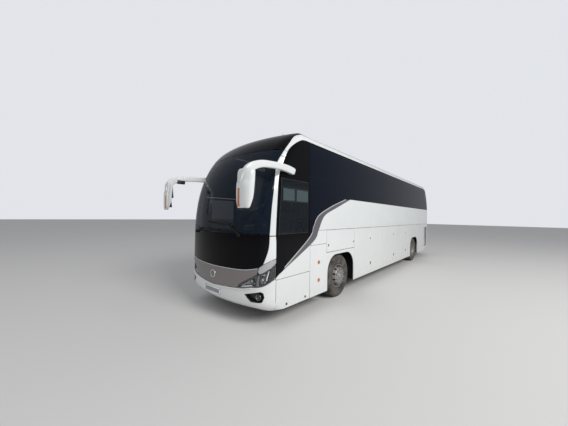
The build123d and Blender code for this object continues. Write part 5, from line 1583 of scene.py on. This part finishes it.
def seat_pads(x, y, floor, rake, half_w):
    """A cushion and a back with its head roll, sewn in one."""
    back = np.array((0, 0.040 + rake, 0.690))
    length = np.linalg.norm(back)
    back /= length
    cushion_along = np.array((0, 1.0, 0.0))
    return [*soft_pad(np.array((x, AXLE + y + 0.235, floor + 0.385)), cushion_along, np.array((0, 0, 1.0)),
                      half_w, 0.470, 0.070, 0.03, (-0.45, 0.15)),
            *soft_pad(np.array((x, AXLE + y + 0.445 + rake / 2, floor + 0.425 + 0.345)), back,
                      np.cross(back, (1.0, 0, 0)) * -1, half_w, length, 0.055, 0.24, (-0.45, 0.0, 0.42))]


def seat_frame(x, y, floor, rake, half_w):
    """The moulded shell behind the back and the pan under the cushion."""
    shell_half, pan_half = half_w * 0.9, half_w * 0.92
    points, *rest = rounded_box((x - shell_half, AXLE + y + 0.462, floor + 0.44),
                                (x + shell_half, AXLE + y + 0.486, floor + 1.04), 0.010)
    rise = points[:, 2] - floor
    points[:, 1] += (rise - 0.43) * (rake + 0.02) / 0.69
    points[:, 0] = x + (points[:, 0] - x) * (1 - 0.20 * np.clip((rise - 0.5) / 0.54, 0, 1) ** 2)
    pan = rounded_box((x - pan_half, AXLE + y + 0.02, floor + 0.335),
                      (x + pan_half, AXLE + y + 0.45, floor + 0.372), 0.010)
    return [(points, *rest), pan]


seat_cloth = cloth("seat_cloth", (0.030, 0.040, 0.085), (0.075, 0.085, 0.130))
seat_shell = paint("seat_shell_grey", (0.055, 0.055, 0.060), rough=0.55)
for name, first, runs in SEAT_ROWS:
    pair = [(first + x, 0, CABIN_FLOOR, SEAT_RAKE, SEAT_HALF) for x in PAIR_MIDDLES]
    legs = [first + x for x in LEG_PLACES]
    pads = [part for seat in pair for part in seat_pads(*seat)]
    frames = [part for seat in pair for part in seat_frame(*seat)]
    frames += [rounded_box((x - 0.02, AXLE + 0.10, CABIN_FLOOR), (x + 0.02, AXLE + 0.34, CABIN_FLOOR + 0.34),
                           0.008) for x in legs]
    frames += [rounded_box((x - 0.035, AXLE + 0.062, CABIN_FLOOR),
                           (x + 0.035, AXLE + 0.378, CABIN_FLOOR + 0.018), 0.005) for x in legs]
    for k, (skip, count) in enumerate(runs):
        row = (count, (0, SEAT_START + skip * SEAT_PITCH, 0), (0, SEAT_PITCH, 0), (0, 0, 0))
        soft = repeat(f"{name}_pads_{k}", pads, *row, seat_cloth)
        if k == 0:
            stand_for(soft, "seat_fabric", name)
        else:
            fixed(soft)
        fixed(repeat(f"{name}_frames_{k}", frames, *row, seat_shell))
driver_pads = make_piece("driver_seat_pads", seat_pads(*DRIVER_SEAT), [seat_cloth])
stand_for(driver_pads, "seat_fabric", "driver_seat")
foot_place = (DRIVER_SEAT[0], AXLE + DRIVER_SEAT[1] + 0.22, CAB_FLOOR)
spring_foot = lathe(SPRING_FOOT, foot_place, (0, 0, 1), 36)
driver_frame = make_piece("driver_seat_frame", [*seat_frame(*DRIVER_SEAT), spring_foot], [seat_shell])
fixed(driver_frame)

# CAD nodes left as they are
# The frame, axles, rims, floors, arms, racks, wipers and other plain solids keep their own meshes and
# only take a finish for their slot.
plain = {
    "white_paint": white,
    "black_gloss": black_gloss,
    # The band's paint, darkened with painted shade.
    "silver_paint": silver_painted_shade,
    "dark_glass": side_glass,
    "lamp_glass": lens_clear,
    "tail_lamp": rear_lens,
    "tyre": paint("tyre_rubber", (0.03, 0.028, 0.027), rough=0.85),
    "wheel_steel": paint("wheel_steel", (0.35, 0.34, 0.33), rough=0.5, metal=0.7),
    "chassis_steel": paint("chassis_steel", (0.03, 0.03, 0.032), rough=0.6),
    "arch_plastic": paint("arch_plastic", (0.012, 0.012, 0.012), rough=0.8, shine=0.2),
    "floor_covering": paint("floor_covering", (0.08, 0.08, 0.09), rough=0.7),
    "dash_plastic": paint("dash_plastic", (0.03, 0.03, 0.033), rough=0.6),
    "seat_fabric": paint("seat_fabric", (0.05, 0.06, 0.10), rough=0.9),
}
for node in nodes.values():
    for k, old in enumerate(node.data.materials):
        node.data.materials[k] = plain[old.name]
